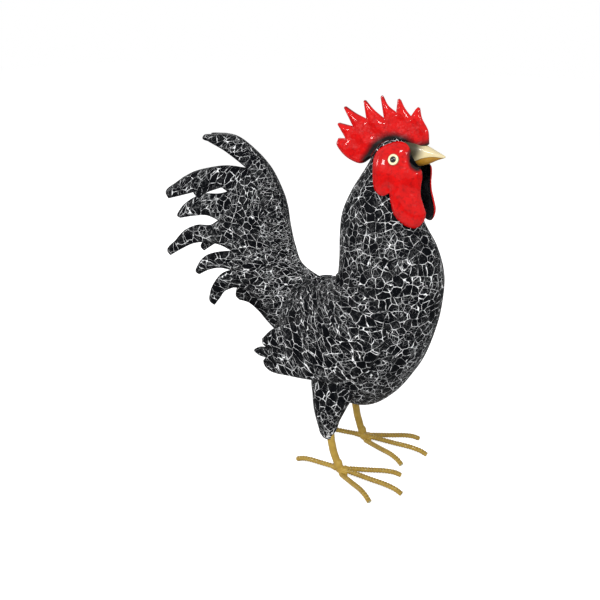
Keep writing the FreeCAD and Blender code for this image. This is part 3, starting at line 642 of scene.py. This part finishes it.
class Nodes:
    """A node tree, with short ways to add to it."""

    def __init__(self, tree):
        self.tree = tree

    def put(self, socket, value):
        if isinstance(value, bpy.types.NodeSocket):
            self.tree.links.new(value, socket)
        else:
            socket.default_value = value

    def add(self, kind, inputs, output=0, **settings):
        node = self.tree.nodes.new("ShaderNode" + kind)
        for key, value in settings.items():
            setattr(node, key, value)
        for key, value in inputs.items():
            self.put(node.inputs[key], value)
        return node.outputs[output]

    def math(self, operation, first, second=0.0, clamp=False):
        return self.add("Math", {0: first, 1: second}, operation=operation, use_clamp=clamp)


class Paint(Nodes):
    """A material that reads the grain and the shade of the pieces."""

    def __init__(self, name):
        self.material = bpy.data.materials.new(name)
        self.material.use_nodes = True
        super().__init__(self.material.node_tree)
        self.shader = self.tree.nodes["Principled BSDF"]
        self.grain = self.add("Attribute", {}, "Vector", attribute_name="grain")
        self.shade = self.add("Attribute", {}, "Fac", attribute_name="shade")

    def surface(self, **inputs):
        for key, value in inputs.items():
            self.put(self.shader.inputs[key.replace("_", " ")], value)

    def noise(self, scale, detail, output="Fac"):
        inputs = {"Vector": self.grain, "Scale": scale, "Detail": detail}
        return self.add("TexNoise", inputs, output)

    def ramp(self, value, low, high, start=0.0, end=1.0):
        """Smooth change from start to end while the value goes from low to high."""
        inputs = {"Value": value, "From Min": low, "From Max": high, "To Min": start, "To Max": end}
        return self.add("MapRange", inputs, interpolation_type="SMOOTHSTEP")

    def mix(self, factor, first, second):
        return self.add("Mix", {0: factor, 6: first, 7: second}, 2, data_type="RGBA")

    def bump(self, height, distance, strength):
        inputs = {"Height": height, "Distance": distance, "Strength": strength}
        self.put(self.shader.inputs["Normal"], self.add("Bump", inputs))

    def warped(self, vector, scale, reach):
        """The vector, pushed about by noise of that scale."""
        colour = self.noise(scale, 1.0, "Color")
        push = self.add("VectorMath", {0: colour, 1: (0.5, 0.5, 0.5)}, operation="SUBTRACT")
        push = self.add("VectorMath", {0: push, "Scale": reach}, operation="SCALE")
        return self.add("VectorMath", {0: vector, 1: push}, operation="ADD")

    def cracks(self, vector, scale, width):
        """White where the cells of a crackle net meet."""
        inputs = {"Vector": vector, "Scale": scale}
        edge = self.add("TexVoronoi", inputs, "Distance", feature="DISTANCE_TO_EDGE")
        return self.ramp(edge, self.math("MULTIPLY", width, 0.6), width, 1.0, 0.0)


BLACK = (0.0020, 0.0024, 0.0034, 1)
WHITE = (0.86, 0.87, 0.88, 1)
# Scale of each net's cells, scale, low and high of the cloud that sets its
# line width, and least and greatest width
CRACK_NETS = (
    (108, 150, 0.32, 0.66, 0.004, 0.033),
    (205, 48, 0.42, 0.66, 0.0, 0.038),
    (330, 75, 0.46, 0.62, 0.0, 0.06),
)
MIDDLE_STRENGTH, FINE_STRENGTH = 0.36, 0.05


def crackle_paint():
    """Black top coat that has cracked over white, in big, middle and fine nets.

    The shade takes the white away, and brings out more of it where it is below 0.
    """
    paint = Paint("crackle_black")
    moved = paint.warped(paint.warped(paint.grain, 55, 7 * MM), 330, 1.2 * MM)
    net, middle, fine = (
        paint.cracks(moved, scale, paint.ramp(paint.noise(cloud_scale, 1.0), *widths))
        for scale, cloud_scale, *widths in CRACK_NETS
    )
    for lesser, strength in ((middle, MIDDLE_STRENGTH), (fine, FINE_STRENGTH)):
        net = paint.math("MAXIMUM", net, paint.math("MULTIPLY", lesser, strength))
    net = paint.math("MULTIPLY", net, paint.ramp(paint.noise(230, 1.0), 0.34, 0.52, 0.25, 1.0))
    net = paint.math("MULTIPLY", net, paint.math("SUBTRACT", 1.0, paint.shade), clamp=True)
    paint.surface(
        Base_Color=paint.mix(net, BLACK, WHITE),
        Roughness=paint.ramp(net, 0.0, 1.0, 0.40, 0.62),
        Specular_IOR_Level=0.02,
    )
    paint.bump(paint.math("SUBTRACT", 1.0, net), 0.22 * MM, 0.8)
    return paint.material


RED = (0.47, 0.0015, 0.0015, 1)
LIGHT_RED = (0.57, 0.003, 0.003, 1)
DEEP_RED = (0.20, 0.002, 0.003, 1)
SOOT = (0.010, 0.008, 0.008, 1)


def red_paint():
    """Glossy red enamel with sprayed black where the shade is 1."""
    paint = Paint("red_enamel")
    cloud = paint.noise(80, 3.0)
    spray = paint.math("MULTIPLY", paint.math("SUBTRACT", cloud, 0.5), 0.5)
    spray = paint.math("ADD", paint.shade, paint.math("MULTIPLY", spray, paint.ramp(paint.shade, 0.0, 0.3)))
    red = paint.mix(paint.ramp(cloud, 0.35, 0.7), LIGHT_RED, RED)
    red = paint.mix(paint.ramp(paint.noise(300, 1.0), 0.45, 0.80, 0.0, 0.50), red, DEEP_RED)
    red = paint.mix(paint.ramp(spray, 0.10, 0.55), red, DEEP_RED)
    paint.surface(
        Base_Color=paint.mix(paint.ramp(spray, 0.45, 0.90), red, SOOT),
        Roughness=0.25,
        Specular_IOR_Level=0.04,
        Coat_Weight=0.32,
        Coat_Roughness=0.04,
    )
    hammered = paint.math("ADD", paint.noise(90, 2.0), paint.math("MULTIPLY", paint.noise(280, 1.0), 0.45))
    paint.bump(hammered, 1.6 * MM, 0.6)
    return paint.material


def plain_paint(name, first, second, roughness, scale=160, coat=0.0):
    """Brushed paint of two close tones, which the shade darkens."""
    paint = Paint(name)
    cloud = paint.noise(scale, 3.0)
    tone = paint.mix(paint.ramp(cloud, 0.35, 0.65), first, second)
    dark = tuple(value * 0.08 for value in first[:3]) + (1,)
    paint.surface(
        Base_Color=paint.mix(paint.shade, tone, dark),
        Roughness=paint.ramp(cloud, 0.3, 0.7, roughness - 0.06, roughness + 0.06),
        Specular_IOR_Level=0.15,
        Coat_Weight=coat,
        Coat_Roughness=0.06,
    )
    paint.bump(cloud, 0.2 * MM, 0.6)
    return paint.material


crackle = crackle_paint()
red = red_paint()
gloss_black = plain_paint("gloss_black", (0.01, 0.01, 0.012, 1), (0.02, 0.02, 0.023, 1), 0.25, coat=0.7)
cream = plain_paint("beak_cream", (0.61, 0.515, 0.295, 1), (0.54, 0.46, 0.295, 1), 0.32, scale=90, coat=0.15)
ochre = plain_paint("beak_ochre", (0.36, 0.18, 0.018, 1), (0.3, 0.14, 0.014, 1), 0.34, scale=90, coat=0.15)
leg_ochre = plain_paint("leg_ochre", (0.43, 0.28, 0.046, 1), (0.37, 0.23, 0.035, 1), 0.42, coat=0.3)
cut_metal = plain_paint("cut_end", (0.62, 0.62, 0.45, 1), (0.5, 0.5, 0.36, 1), 0.5)
eye_cream = plain_paint("eye_cream", (0.8, 0.72, 0.46, 1), (0.74, 0.64, 0.4, 1), 0.2, coat=0.2)
eye_black = plain_paint("eye_black", (0.008, 0.008, 0.009, 1), (0.012, 0.012, 0.013, 1), 0.1, coat=0.5)


def body_line(shares):
    """A smooth line in the side view, from shares of the body's length and rise."""
    return smooth_line([(body_x(x), body_z(z)) for x, z in shares], 1 * MM)


def ribs_on_body(table):
    return [
        (body_x(ax), body_z(az), body_x(bx), body_z(bz), BODY_HALF * half) for ax, az, bx, bz, half in table
    ]


body_form = Form(ribs_on_body(BODY_RIB_SHARES))
wing_form = Form(ribs_on_body(WING_RIB_SHARES))
face_form = Form(ribs_on_body([
    (FACE_MIDDLE_SHARE + reach, height, FACE_MIDDLE_SHARE - reach, height, half)
    for height, reach, half in FACE_RIB_SHARES
]))
tail_root = (body_x(TAIL_ROOT_SHARE[0]), body_z(TAIL_ROOT_SHARE[1]))


def tail_place(behind, above):
    return tail_root[0] - TAIL_REACH * behind, tail_root[1] + TAIL_RISE * above


def tail_rib(middle_behind, middle_above, lead_behind, lead_above, half):
    middle = np.array(tail_place(middle_behind, middle_above))
    lead = np.array(tail_place(lead_behind, lead_above))
    return (*lead, *(2 * middle - lead), TAIL_HALF * half)


tail_form = Form([tail_rib(*shares) for shares in TAIL_RIB_SHARES], keen=1.15)


def body_halves():
    """The two halves of the hollow body, with rounded ends and a welded seam."""
    rings, sides, cap_rings = 150, 72, 5
    cap_depth = 4 * MM
    seam_depth, seam_width = 0.5 * MM, 1.2 * MM
    turns = np.linspace(0, math.pi, sides + 1)
    rows = []
    for u in np.linspace(0, body_form.knots[-1], rings):
        place = np.full(sides + 1, u)
        points = body_form.point(place, turns)
        normals = body_form.normal(place, turns)
        girth = np.interp(u, body_form.grid, body_form.girth)
        edge = np.minimum(turns, math.pi - turns) / math.pi * girth
        pinch = seam_depth * np.exp(-(edge / seam_width) ** 2)
        points = points + normals * (lumps(points, 28, 0.9 * MM) - pinch)[:, None]
        points[0, 1] = points[-1, 1] = 0
        rows.append(points)
    for end, neighbour in ((0, 1), (-1, -2)):
        middle = rows[end].mean(0)
        middle[1] = 0
        outward = unit(middle - rows[neighbour].mean(0) * (1, 0, 1))
        caps = []
        for index in range(1, cap_rings + 1):
            angle = math.pi / 2 * index / cap_rings
            size = max(math.cos(angle), 0.02)
            caps.append(middle + (rows[end] - middle) * size + outward * cap_depth * math.sin(angle))
        rows = caps[::-1] + rows if end == 0 else rows + caps
    points = np.concatenate(rows)
    centre = np.repeat([row.mean(0) * (1, 0, 1) for row in rows], sides + 1, axis=0)
    outward = unit(points - centre)
    faces = facing(points, ring_faces(len(rows), sides + 1, closed=False), outward)
    under = points - outward * WALL
    under[:, 1] = np.minimum(under[:, 1], 0)
    beak_base = np.array([body_x(0.825), body_z(0.935)])
    shade = fade(norm(points[:, [0, 2]] - beak_base, axis=1), 6 * MM, 13 * MM)
    mesh = closed_shell(points, faces, under)
    make_pair("body_shell", mesh, [crackle] * 3, shade=shade, angle=60)


def wings():
    place = corner_place(WING_CORNER_SHARE, WING_LENGTH, WING_DEPTH)
    mesh, grain, data = plate(
        wing_form, WING_OUTLINE_SHARES, place, WING_DOME,
        grooves=WING_GROOVE_SHARES, stretch=(1.1, 0.8), uneven=(35, 0.8 * MM),
    )
    # Painted shade: the white cracks are taken away along the wing's rim and in its grooves.
    rim = 0.85 * fade(data["depth"], 0.3 * MM, 3.2 * MM)
    make_pair("wing", mesh, [crackle] * 3, shade=rim, grain=grain)


def tails():
    def under_sickle(u, turn, distance):
        """Takes the dome away where the sickle feather lies over the fan."""
        return -3.0 * MM * fade(turn, 0.75, 1.05)

    def near_root(base):
        """The white shows more where the tail leaves the body."""
        away = np.hypot(base[:, 0] - tail_root[0], base[:, 2] - tail_root[1])
        return 0.9 * fade(away, 40 * MM, 105 * MM)

    for side, strokes in (("right", FAN_OUTLINE_SHARES), ("left", LEFT_FAN_OUTLINE_SHARES)):
        mesh, grain, data = plate(
            tail_form, strokes, tail_place, FAN_DOME,
            grooves=FAN_GROOVE_SHARES, stretch=(0.75, 1.25), extra=under_sickle, seam_fade=40 * MM,
            uneven=(40, 0.7 * MM),
        )
        # Painted shade in the grooves between the feathers and along the fan's rim; near the root the white
        # shows more.
        groove_shade = 0.75 * fade(data["depth"], 0.5 * MM, 3.5 * MM) - near_root(data["base"])
        if side == "left":
            mesh, grain = mirrored(mesh, grain, LEFT_FAN_DROOP)
        name = "tail_fan_" + side
        make_piece(name, mesh, [crackle] * 3, name, groove_shade, grain)
    mesh, grain, data = plate(
        tail_form, SICKLE_OUTLINE_SHARES, tail_place, SICKLE_DOME,
        stand=WALL + GAP, stretch=(1.2, 0.8), seam_fade=40 * MM, uneven=(40, 0.6 * MM),
    )
    band = 0.6 * fade(data["turn"], 0.05, 0.22) - near_root(data["base"])
    # Painted shade: a dark band along the sickle's rim, where it lies over the fan.
    band += 0.9 * fade(data["depth"], 0.5 * MM, 5 * MM)
    make_pair("tail_sickle", mesh, [crackle] * 3, band, grain)


def saddles():
    place = corner_place(SADDLE_CORNER_SHARE, SADDLE_LENGTH, SADDLE_HEIGHT)
    pleats_per_rib = 1.5

    def wave(u, turn):
        bend = u + 0.25 * np.sin(turn * 2.2)
        return 0.5 - 0.5 * np.cos(2 * math.pi * pleats_per_rib * bend)

    def pleats(u, turn, distance):
        edge = (0.2 + 0.8 * smoothstep(distance, 0, 6 * MM)) * smoothstep(turn, 0, 0.5)
        return 2.8 * MM * wave(u, turn) ** 0.8 * edge

    mesh, grain, data = plate(
        body_form, SADDLE_OUTLINE_SHARES, place, SADDLE_DOME, step=1.1 * MM,
        stand=WALL + 2 * GAP, stretch=(1.3, 0.8), extra=pleats,
    )
    # Painted shade in the valleys of the pleats; elsewhere the plume shows more white.
    valley_shade = 1.3 * fade(wave(data["u"], data["turn"]), 0.05, 0.55) - 0.6
    make_pair("saddle_plume", mesh, [crackle] * 3, valley_shade, grain)


def combs():
    place = corner_place(COMB_CORNER_SHARE, COMB_LENGTH, COMB_HEIGHT)
    loop = outline_of(COMB_OUTLINE_SHARES, place, 1.0 * MM)
    flat, faces = region(loop, 1.3 * MM, rings=(0.25 * MM, 0.9 * MM))
    distance = least_distance(flat, loop)
    left, foot = place(0, 0)
    above = np.clip((flat[:, 1] - foot) / COMB_HEIGHT, 0, 1)
    full = COMB_ROOT_HALF + (COMB_TIP_HALF - COMB_ROOT_HALF) * above**0.8
    reach = 5.5 * MM
    t = np.clip(distance / reach, 0, 1)
    half = full * np.sqrt(1 - (1 - t) ** 2)
    top = np.column_stack([flat[:, 0], -half, flat[:, 1]])
    half = half + lumps(top, 70, 0.9 * MM) * t
    top[:, 1] = -np.maximum(half, 0)
    faces = facing(top, faces, np.tile([0.0, -1.0, 0.0], (len(top), 1)))
    mesh = closed_shell(top, faces, top * (1, 0, 1))
    near = least_distance(flat, body_line(COMB_FOOT_SHARES))
    shade = fade(near, -4 * MM, 12 * MM) * 1.15
    tips = fade(distance, 0.0, 1.6 * MM) * smoothstep(near, 25 * MM, 48 * MM)
    shade = np.maximum(shade, tips * 0.6)
    make_pair("comb", mesh, [red] * 3, shade=shade)


def faces_and_eyes():
    place = corner_place(FACE_CORNER_SHARE, FACE_LENGTH, FACE_HEIGHT)

    def bulges(u, turn, distance):
        """The lobe and the wattle swell a little more than the rim."""
        return 2.0 * MM * smoothstep(distance, 2 * MM, 13 * MM)

    mesh, _, data = plate(
        face_form, FACE_OUTLINE_SHARES, place, FACE_DOME, step=1.2 * MM,
        grooves=FACE_GROOVE_SHARES, extra=bulges, uneven=(60, 0.6 * MM),
    )
    away = least_distance(data["base"][:, [0, 2]], body_line(BEAK_FOOT_SHARES))
    shade = fade(away, 0.5 * MM, 7.0 * MM)
    make_pair("face_plate", mesh, [red, red, gloss_black], shade)
    u, turn = face_form.find(*place(*EYE_SHARE))
    axis = Vector(face_form.normal(u, turn))
    seat = face_form.point(u, turn) + face_form.normal(u, turn) * 5.0 * MM
    across = axis.orthogonal().normalized()
    # Radius as a share of the eye's, height above the cheek in mm, and material
    profile = (
        (1.00, -1.5, 0), (1.00, 0.2, 0), (0.97, 0.6, 0), (0.88, 0.95, 0), (0.75, 1.1, 0), (0.62, 1.15, 0),
        (0.56, 1.10, 1), (0.55, 1.35, 1), (0.48, 1.8, 1), (0.34, 2.2, 1), (0.18, 2.42, 1), (0.0, 2.5, 1),
    )
    sides = 40
    angles = full_turn(sides)
    spokes = np.outer(np.cos(angles), across) + np.outer(np.sin(angles), axis.cross(across))
    points = np.concatenate([
        seat + spokes * (EYE_RADIUS * share) + np.array(axis) * (height * MM) for share, height, _ in profile
    ])
    faces = ring_faces(len(profile), sides, last_cap=False)
    slots = [paint for _, _, paint in profile[:-1] for _ in range(sides)] + [0]
    rim = np.repeat([0.8 if share > 0.9 else 0.0 for share, _, _ in profile], sides)
    make_pair("eye", (points, faces, slots), [eye_cream, eye_black], shade=rim, angle=80)


def beak():
    place = corner_place(BEAK_CORNER_SHARE, BEAK_LENGTH, BEAK_DEPTH)
    table = np.array(BEAK_RIB_SHARES)
    mouth_table = np.array(MOUTH_LINE_SHARES)
    along = np.linspace(-0.15, 1.0, 60)
    rows = spline(table[:, 1:], table[:, 0], along)
    mouth = spline(mouth_table[:, 1:], mouth_table[:, 0], along)[:, 0]
    arc, flat_count = 28, 9
    base = np.array([body_x(0.790), body_z(0.972)])

    def half_beak(name, sign, slit, paint):
        loops = []
        for share, (top, under, half), line in zip(along, rows, mouth):
            middle, radius = (top + under) / 2, (top - under) / 2
            level = line + sign * slit / BEAK_DEPTH
            first = math.asin(np.clip((level - middle) / radius, -0.98, 0.98))
            angles = np.linspace(first, sign * math.pi - first, arc)
            x, z = place(share, middle + radius * np.sin(angles))
            ring = np.column_stack([np.full(arc, x), BEAK_WIDTH * half * np.cos(angles), z])
            loops += [ring, np.linspace(ring[-1], ring[0], flat_count + 2)[1:-1]]
        points = np.concatenate(loops)
        faces = ring_faces(len(along), arc + flat_count)
        if sign > 0:
            faces = [face[::-1] for face in faces]
        away = norm(points[:, [0, 2]] - base, axis=1)
        shade = fade(away, 8 * MM, 19 * MM)
        make_piece(name, (points, faces, 0), [paint], name, shade, angle=50)

    half_beak("beak_upper", 1, 0.0, cream)
    half_beak("beak_lower", -1, 0.35 * MM, ochre)


def tube(path, radius_at, sides=28, cut=False):
    """A closed tube along the path, and the run and angle of each of its points.

    They give its radius there. A cut end takes the second paint.
    """
    tangent = unit(np.gradient(path, axis=0))
    side_way = np.cross(tangent[0], [0, 0, 1.0])
    side_way = unit(side_way) if norm(side_way) > 1e-6 else np.array([0, 1.0, 0])
    upward = unit(np.cross(side_way, tangent))
    runs, angles = np.meshgrid(run_along(path), full_turn(sides), indexing="ij")
    spokes = side_way * np.cos(angles)[..., None] + upward[:, None] * np.sin(angles)[..., None]
    points = (path[:, None] + spokes * radius_at(runs, angles)[..., None]).reshape(-1, 3)
    faces = turned_out(points, ring_faces(len(path), sides), 0, np.repeat(path, sides, axis=0))
    return (points, faces, [0] * (len(faces) - 1) + [int(cut)]), runs, angles


def blob(name, parts, voxel, paint):
    """One lump grown from joined balls: each part is a place and three radii."""
    rings, sides = 10, 16
    polar = math.pi * (np.arange(rings + 1) + 0.001) / (rings + 0.002)
    ball = [
        (math.sin(down) * math.cos(angle), math.sin(down) * math.sin(angle), math.cos(down))
        for down in polar for angle in full_turn(sides)
    ]
    points = np.concatenate([centre + np.array(ball) * radii for centre, radii in parts])
    faces = [
        [corner + first for corner in reversed(face)]
        for first in range(0, len(points), len(ball)) for face in ring_faces(rings + 1, sides)
    ]
    helper = add_object(name + "_balls", new_mesh(name + "_balls", points, faces))
    remesh = helper.modifiers.new("Remesh", "REMESH")
    remesh.mode = "VOXEL"
    remesh.voxel_size = voxel
    relax = helper.modifiers.new("Relax", "SMOOTH")
    relax.iterations = 6
    relax.factor = 0.6
    grown = bpy.data.meshes.new_from_object(helper.evaluated_get(bpy.context.evaluated_depsgraph_get()))
    bpy.data.objects.remove(helper)
    spots = np.array([vertex.co[:] for vertex in grown.vertices])
    normals = np.array([vertex.normal[:] for vertex in grown.vertices])
    spots = spots + normals * lumps(spots, 220, 0.5 * MM)[:, None]
    spots[:, 2] = np.maximum(spots[:, 2], 0)
    polygons = [list(polygon.vertices) for polygon in grown.polygons]
    make_piece(name, (spots, polygons, 0), [paint], name, angle=180)


# Toe lengths in mm, headings in degrees and how far from the ankle each starts.
# The last toe of each foot is welded on below the others.
TOES = {
    "right": (("middle", 83, -2, 6), ("inner", 73, 26, 11.5), ("hind", 59, 184, 6), ("outer", 69, -30, 7)),
    "left": (("middle", 86, 4, 6), ("outer", 72, 31, 11.5), ("hind", 56, 192, 6), ("inner", 76, -23, 7)),
}
# Side, lean of the leg, drop of the knee below the belly and its shift to the front
FEET = {"right": (-1, 14.5 * MM, 39 * MM, 0), "left": (1, 15.2 * MM, 31 * MM, -2.2 * MM)}


def legs():
    for word, (side, lean, drop, shift) in FEET.items():
        knee = np.array([
            body_x(KNEE_SHARE) - side * KNEE_STRIDE / 2 + shift,
            side * LEG_SPACING / 2 - STANCE_OFFSET,
            body_low.z - drop,
        ])
        ankle = np.array([knee[0] + lean, knee[1], 0])
        thigh(word, side, knee)
        top = knee + up(THIGH_HEIGHT * 0.7)
        foot = ankle + up(ANKLE_HEIGHT / 2)
        bend = [top, knee + up(12 * MM), knee + (foot - knee) * 0.25, foot]
        path = np.vstack([smooth_line(bend, 1.5 * MM), foot])
        mesh, *_ = tube(path, lambda run, angle: LEG_RADIUS * (1 + 0.02 * np.sin(run * 400 + angle)))
        name = f"leg_rod_{word}"
        make_piece(name, mesh, [leg_ochre], name, angle=60)
        lumps_at = [
            (ankle + np.array([0.5 * MM, 0, 5.6 * MM]), (5.6 * MM, 5.4 * MM, 5.6 * MM)),
            (ankle + (knee - ankle) * 0.16 + up(4 * MM), (5.4 * MM, 5.4 * MM, 8 * MM)),
        ]
        for which, length, yaw, root in TOES[word]:
            heading = np.array([math.cos(math.radians(yaw)), math.sin(math.radians(yaw)), 0])
            low = which == TOES[word][-1][0]
            level = TOE_RADIUS if low else ANKLE_HEIGHT
            aside = np.array([-1.0 * MM, -1.8 * MM, 0]) if low else 0
            toe(f"toe_{which}_{word}", ankle + aside, heading, length * MM, root * MM, low)
            for reach in (6 * MM, 10 * MM):
                spot = ankle + heading * reach + up(level - 0.3 * MM)
                size = TOE_RADIUS * (1.45 if reach < 8 * MM else 1.2)
                lumps_at.append((spot, (size * 1.3, size * 1.3, size)))
        blob(f"foot_weld_{word}", lumps_at, 0.55 * MM, leg_ochre)


def toe(name, ankle, heading, length, root, low):
    """Ribbed round bar that runs out and then bends down to the ground."""
    rise = up(ANKLE_HEIGHT)
    tip = up(TOE_RADIUS - 0.5 * MM)
    start = tip if low else rise
    shoulder = start + (rise - start) * 0.6
    line = [
        ankle + heading * root + start,
        ankle + heading * (root + (length - TOE_CROOK * 1.15 - root) * 0.55) + shoulder,
        ankle + heading * (length - TOE_CROOK * 1.15) + rise,
        ankle + heading * (length - TOE_CROOK * 0.55) + rise * 0.72 + tip * 0.28,
        ankle + heading * length + tip,
    ]
    path = np.vstack([smooth_line(line, 0.55 * MM), line[-1]])
    pitch = 3.6 * MM

    def ribs(run, angle):
        """Slanted ribs on the two flanks of the bar."""
        wave = np.sin(2 * math.pi * run / pitch + 1.4 * np.cos(angle))
        return np.maximum(0.0, wave) * np.abs(np.sin(angle))

    def radius(run, angle):
        """Ribs, two smooth ridges along the bar and a chamfer at its end."""
        ridge = np.exp(-((np.cos(angle) ** 2 - 1) / 0.05) ** 2)
        chamfer = 1 - 0.25 * np.maximum(0.0, 1 - (1 - run / run.max()) * length / (0.6 * MM))
        return TOE_RADIUS * (1.12 + 0.22 * ribs(run, angle) + 0.10 * ridge) * chamfer

    mesh, runs, angles = tube(path, radius, cut=True)
    mesh[0][:, 2] = np.maximum(mesh[0][:, 2], 0)
    # Painted shade in the hollows between the ribs, on the bar's flanks.
    hollow = (0.45 * np.abs(np.sin(angles)) * fade(ribs(runs, angles), 0.0, 0.7)).ravel()
    make_piece(name, mesh, [leg_ochre, cut_metal], name, shade=hollow, angle=50)


def thigh(word, side, knee):
    """Hollow cone that closes round the leg below and meets the belly above."""
    ribs = []
    for above, rear, front, half, inward in THIGH_RIB_SHARES:
        z = knee[2] + THIGH_HEIGHT * above
        ribs.append((knee[0] + THIGH_LENGTH * front, z, knee[0] + THIGH_LENGTH * rear, z,
                     THIGH_DEPTH * half, knee[1] - side * THIGH_DEPTH * inward))
    form = Form(ribs)
    rings, sides = 60, 64
    turns = full_turn(sides)
    rows = []
    for u in np.linspace(THIGH_LIP, form.knots[-1], rings):
        place = np.full(sides, u)
        points = form.point(place, turns)
        rows.append(points + form.normal(place, turns) * lumps(points, 45, 0.7 * MM)[:, None])
    lip = rows[0].mean(0)
    tucked = [lip + (rows[0] - lip) * share - up(drop * MM)
              for share, drop in ((0.94, 0.5), (0.86, 0.7), (0.74, 0.4))]
    rows = tucked[::-1] + rows
    points = np.concatenate(rows)
    centre = np.repeat([row.mean(0) for row in rows], sides, axis=0)
    faces = turned_out(points, ring_faces(len(rows), sides), rings * sides // 2, centre)
    grain = points * (1, 1, 0.8)
    name = f"thigh_cone_{word}"
    make_piece(name, (points, faces, 0), [crackle], name, grain=grain, angle=60)


def floor():
    """A pale floor that shows as white and keeps the soft shadow."""
    size = 6.0
    corners = [(-size, -size, 0), (size, -size, 0), (size, size, 0), (-size, size, 0)]
    mesh = new_mesh("floor", corners, [(0, 1, 2, 3)])
    material = bpy.data.materials.new("floor")
    material.use_nodes = True
    nodes = Nodes(material.node_tree)
    nodes.tree.nodes.clear()
    diffuse = nodes.add("BsdfDiffuse", {"Color": (0.82, 0.82, 0.82, 1)})
    lift = nodes.math("MULTIPLY", nodes.add("LightPath", {}, "Is Camera Ray"), 0.71)
    glow = nodes.add("Emission", {"Strength": lift})
    total = nodes.add("AddShader", {0: diffuse, 1: glow})
    nodes.put(nodes.tree.nodes.new("ShaderNodeOutputMaterial").inputs["Surface"], total)
    mesh.materials.append(material)
    plane = add_object("floor", mesh)


def world():
    """Even studio light, seen as white by the camera and in reflections."""
    made = bpy.data.worlds.new("studio")
    bpy.context.scene.world = made
    made.use_nodes = True
    nodes = Nodes(made.node_tree)
    background = nodes.tree.nodes["Background"]
    seen = nodes.add("LightPath", {}, "Is Camera Ray")
    seen = nodes.math("ADD", seen, nodes.add("LightPath", {}, "Is Glossy Ray"))
    seen = nodes.math("ADD", seen, nodes.add("LightPath", {}, "Is Transmission Ray"), clamp=True)
    strength = nodes.add("MapRange", {"Value": seen, "To Min": 0.36, "To Max": 1.0})
    nodes.put(background.inputs["Color"], (1, 1, 1, 1))
    nodes.put(background.inputs["Strength"], strength)


def lamp(name, place, target, size, power):
    data = bpy.data.lights.new(name, "AREA")
    data.shape = "RECTANGLE"
    data.size, data.size_y = size
    data.energy = power
    made = add_object(name, data)
    made.location = place
    made.rotation_euler = (Vector(place) - Vector(target)).to_track_quat("Z", "Y").to_euler()


body_halves()
wings()
tails()
saddles()
combs()
faces_and_eyes()
beak()
legs()

# Middle of the figure, at which the lamps point
CENTRE = (0.03, 0.0, 0.24)
floor()
world()
lamp("gleam_side", (-0.35, -0.85, 0.55), CENTRE, (0.10, 0.12), 1.9)
lamp("gleam_back", (-0.95, -0.40, 0.50), CENTRE, (0.08, 0.24), 2)
lamp("rear", (-0.9, 1.0, 1.1), CENTRE, (0.8, 0.8), 5)
lamp("gleam", (0.30, -0.80, 1.05), CENTRE, (0.18, 0.24), 7.5)
lamp("gleam_front", (0.95, -0.55, 0.75), CENTRE, (0.12, 0.18), 4.5)

# Camera of the photograph: lens and sensor in mm, degrees down and round
LENS, SENSOR = 45.98, 36.0
CAMERA_DOWN, CAMERA_ROUND = 20.6128, 32.2195
camera_data = bpy.data.cameras.new("camera")
camera_data.sensor_width = SENSOR
camera_data.lens = LENS
camera = add_object("camera", camera_data)
camera.location = (0.46611, -0.73952, 0.52104)
camera.rotation_euler = (math.radians(90 - CAMERA_DOWN), 0, math.radians(CAMERA_ROUND))
bpy.context.scene.camera = camera
bpy.context.scene.view_settings.view_transform = "Standard"
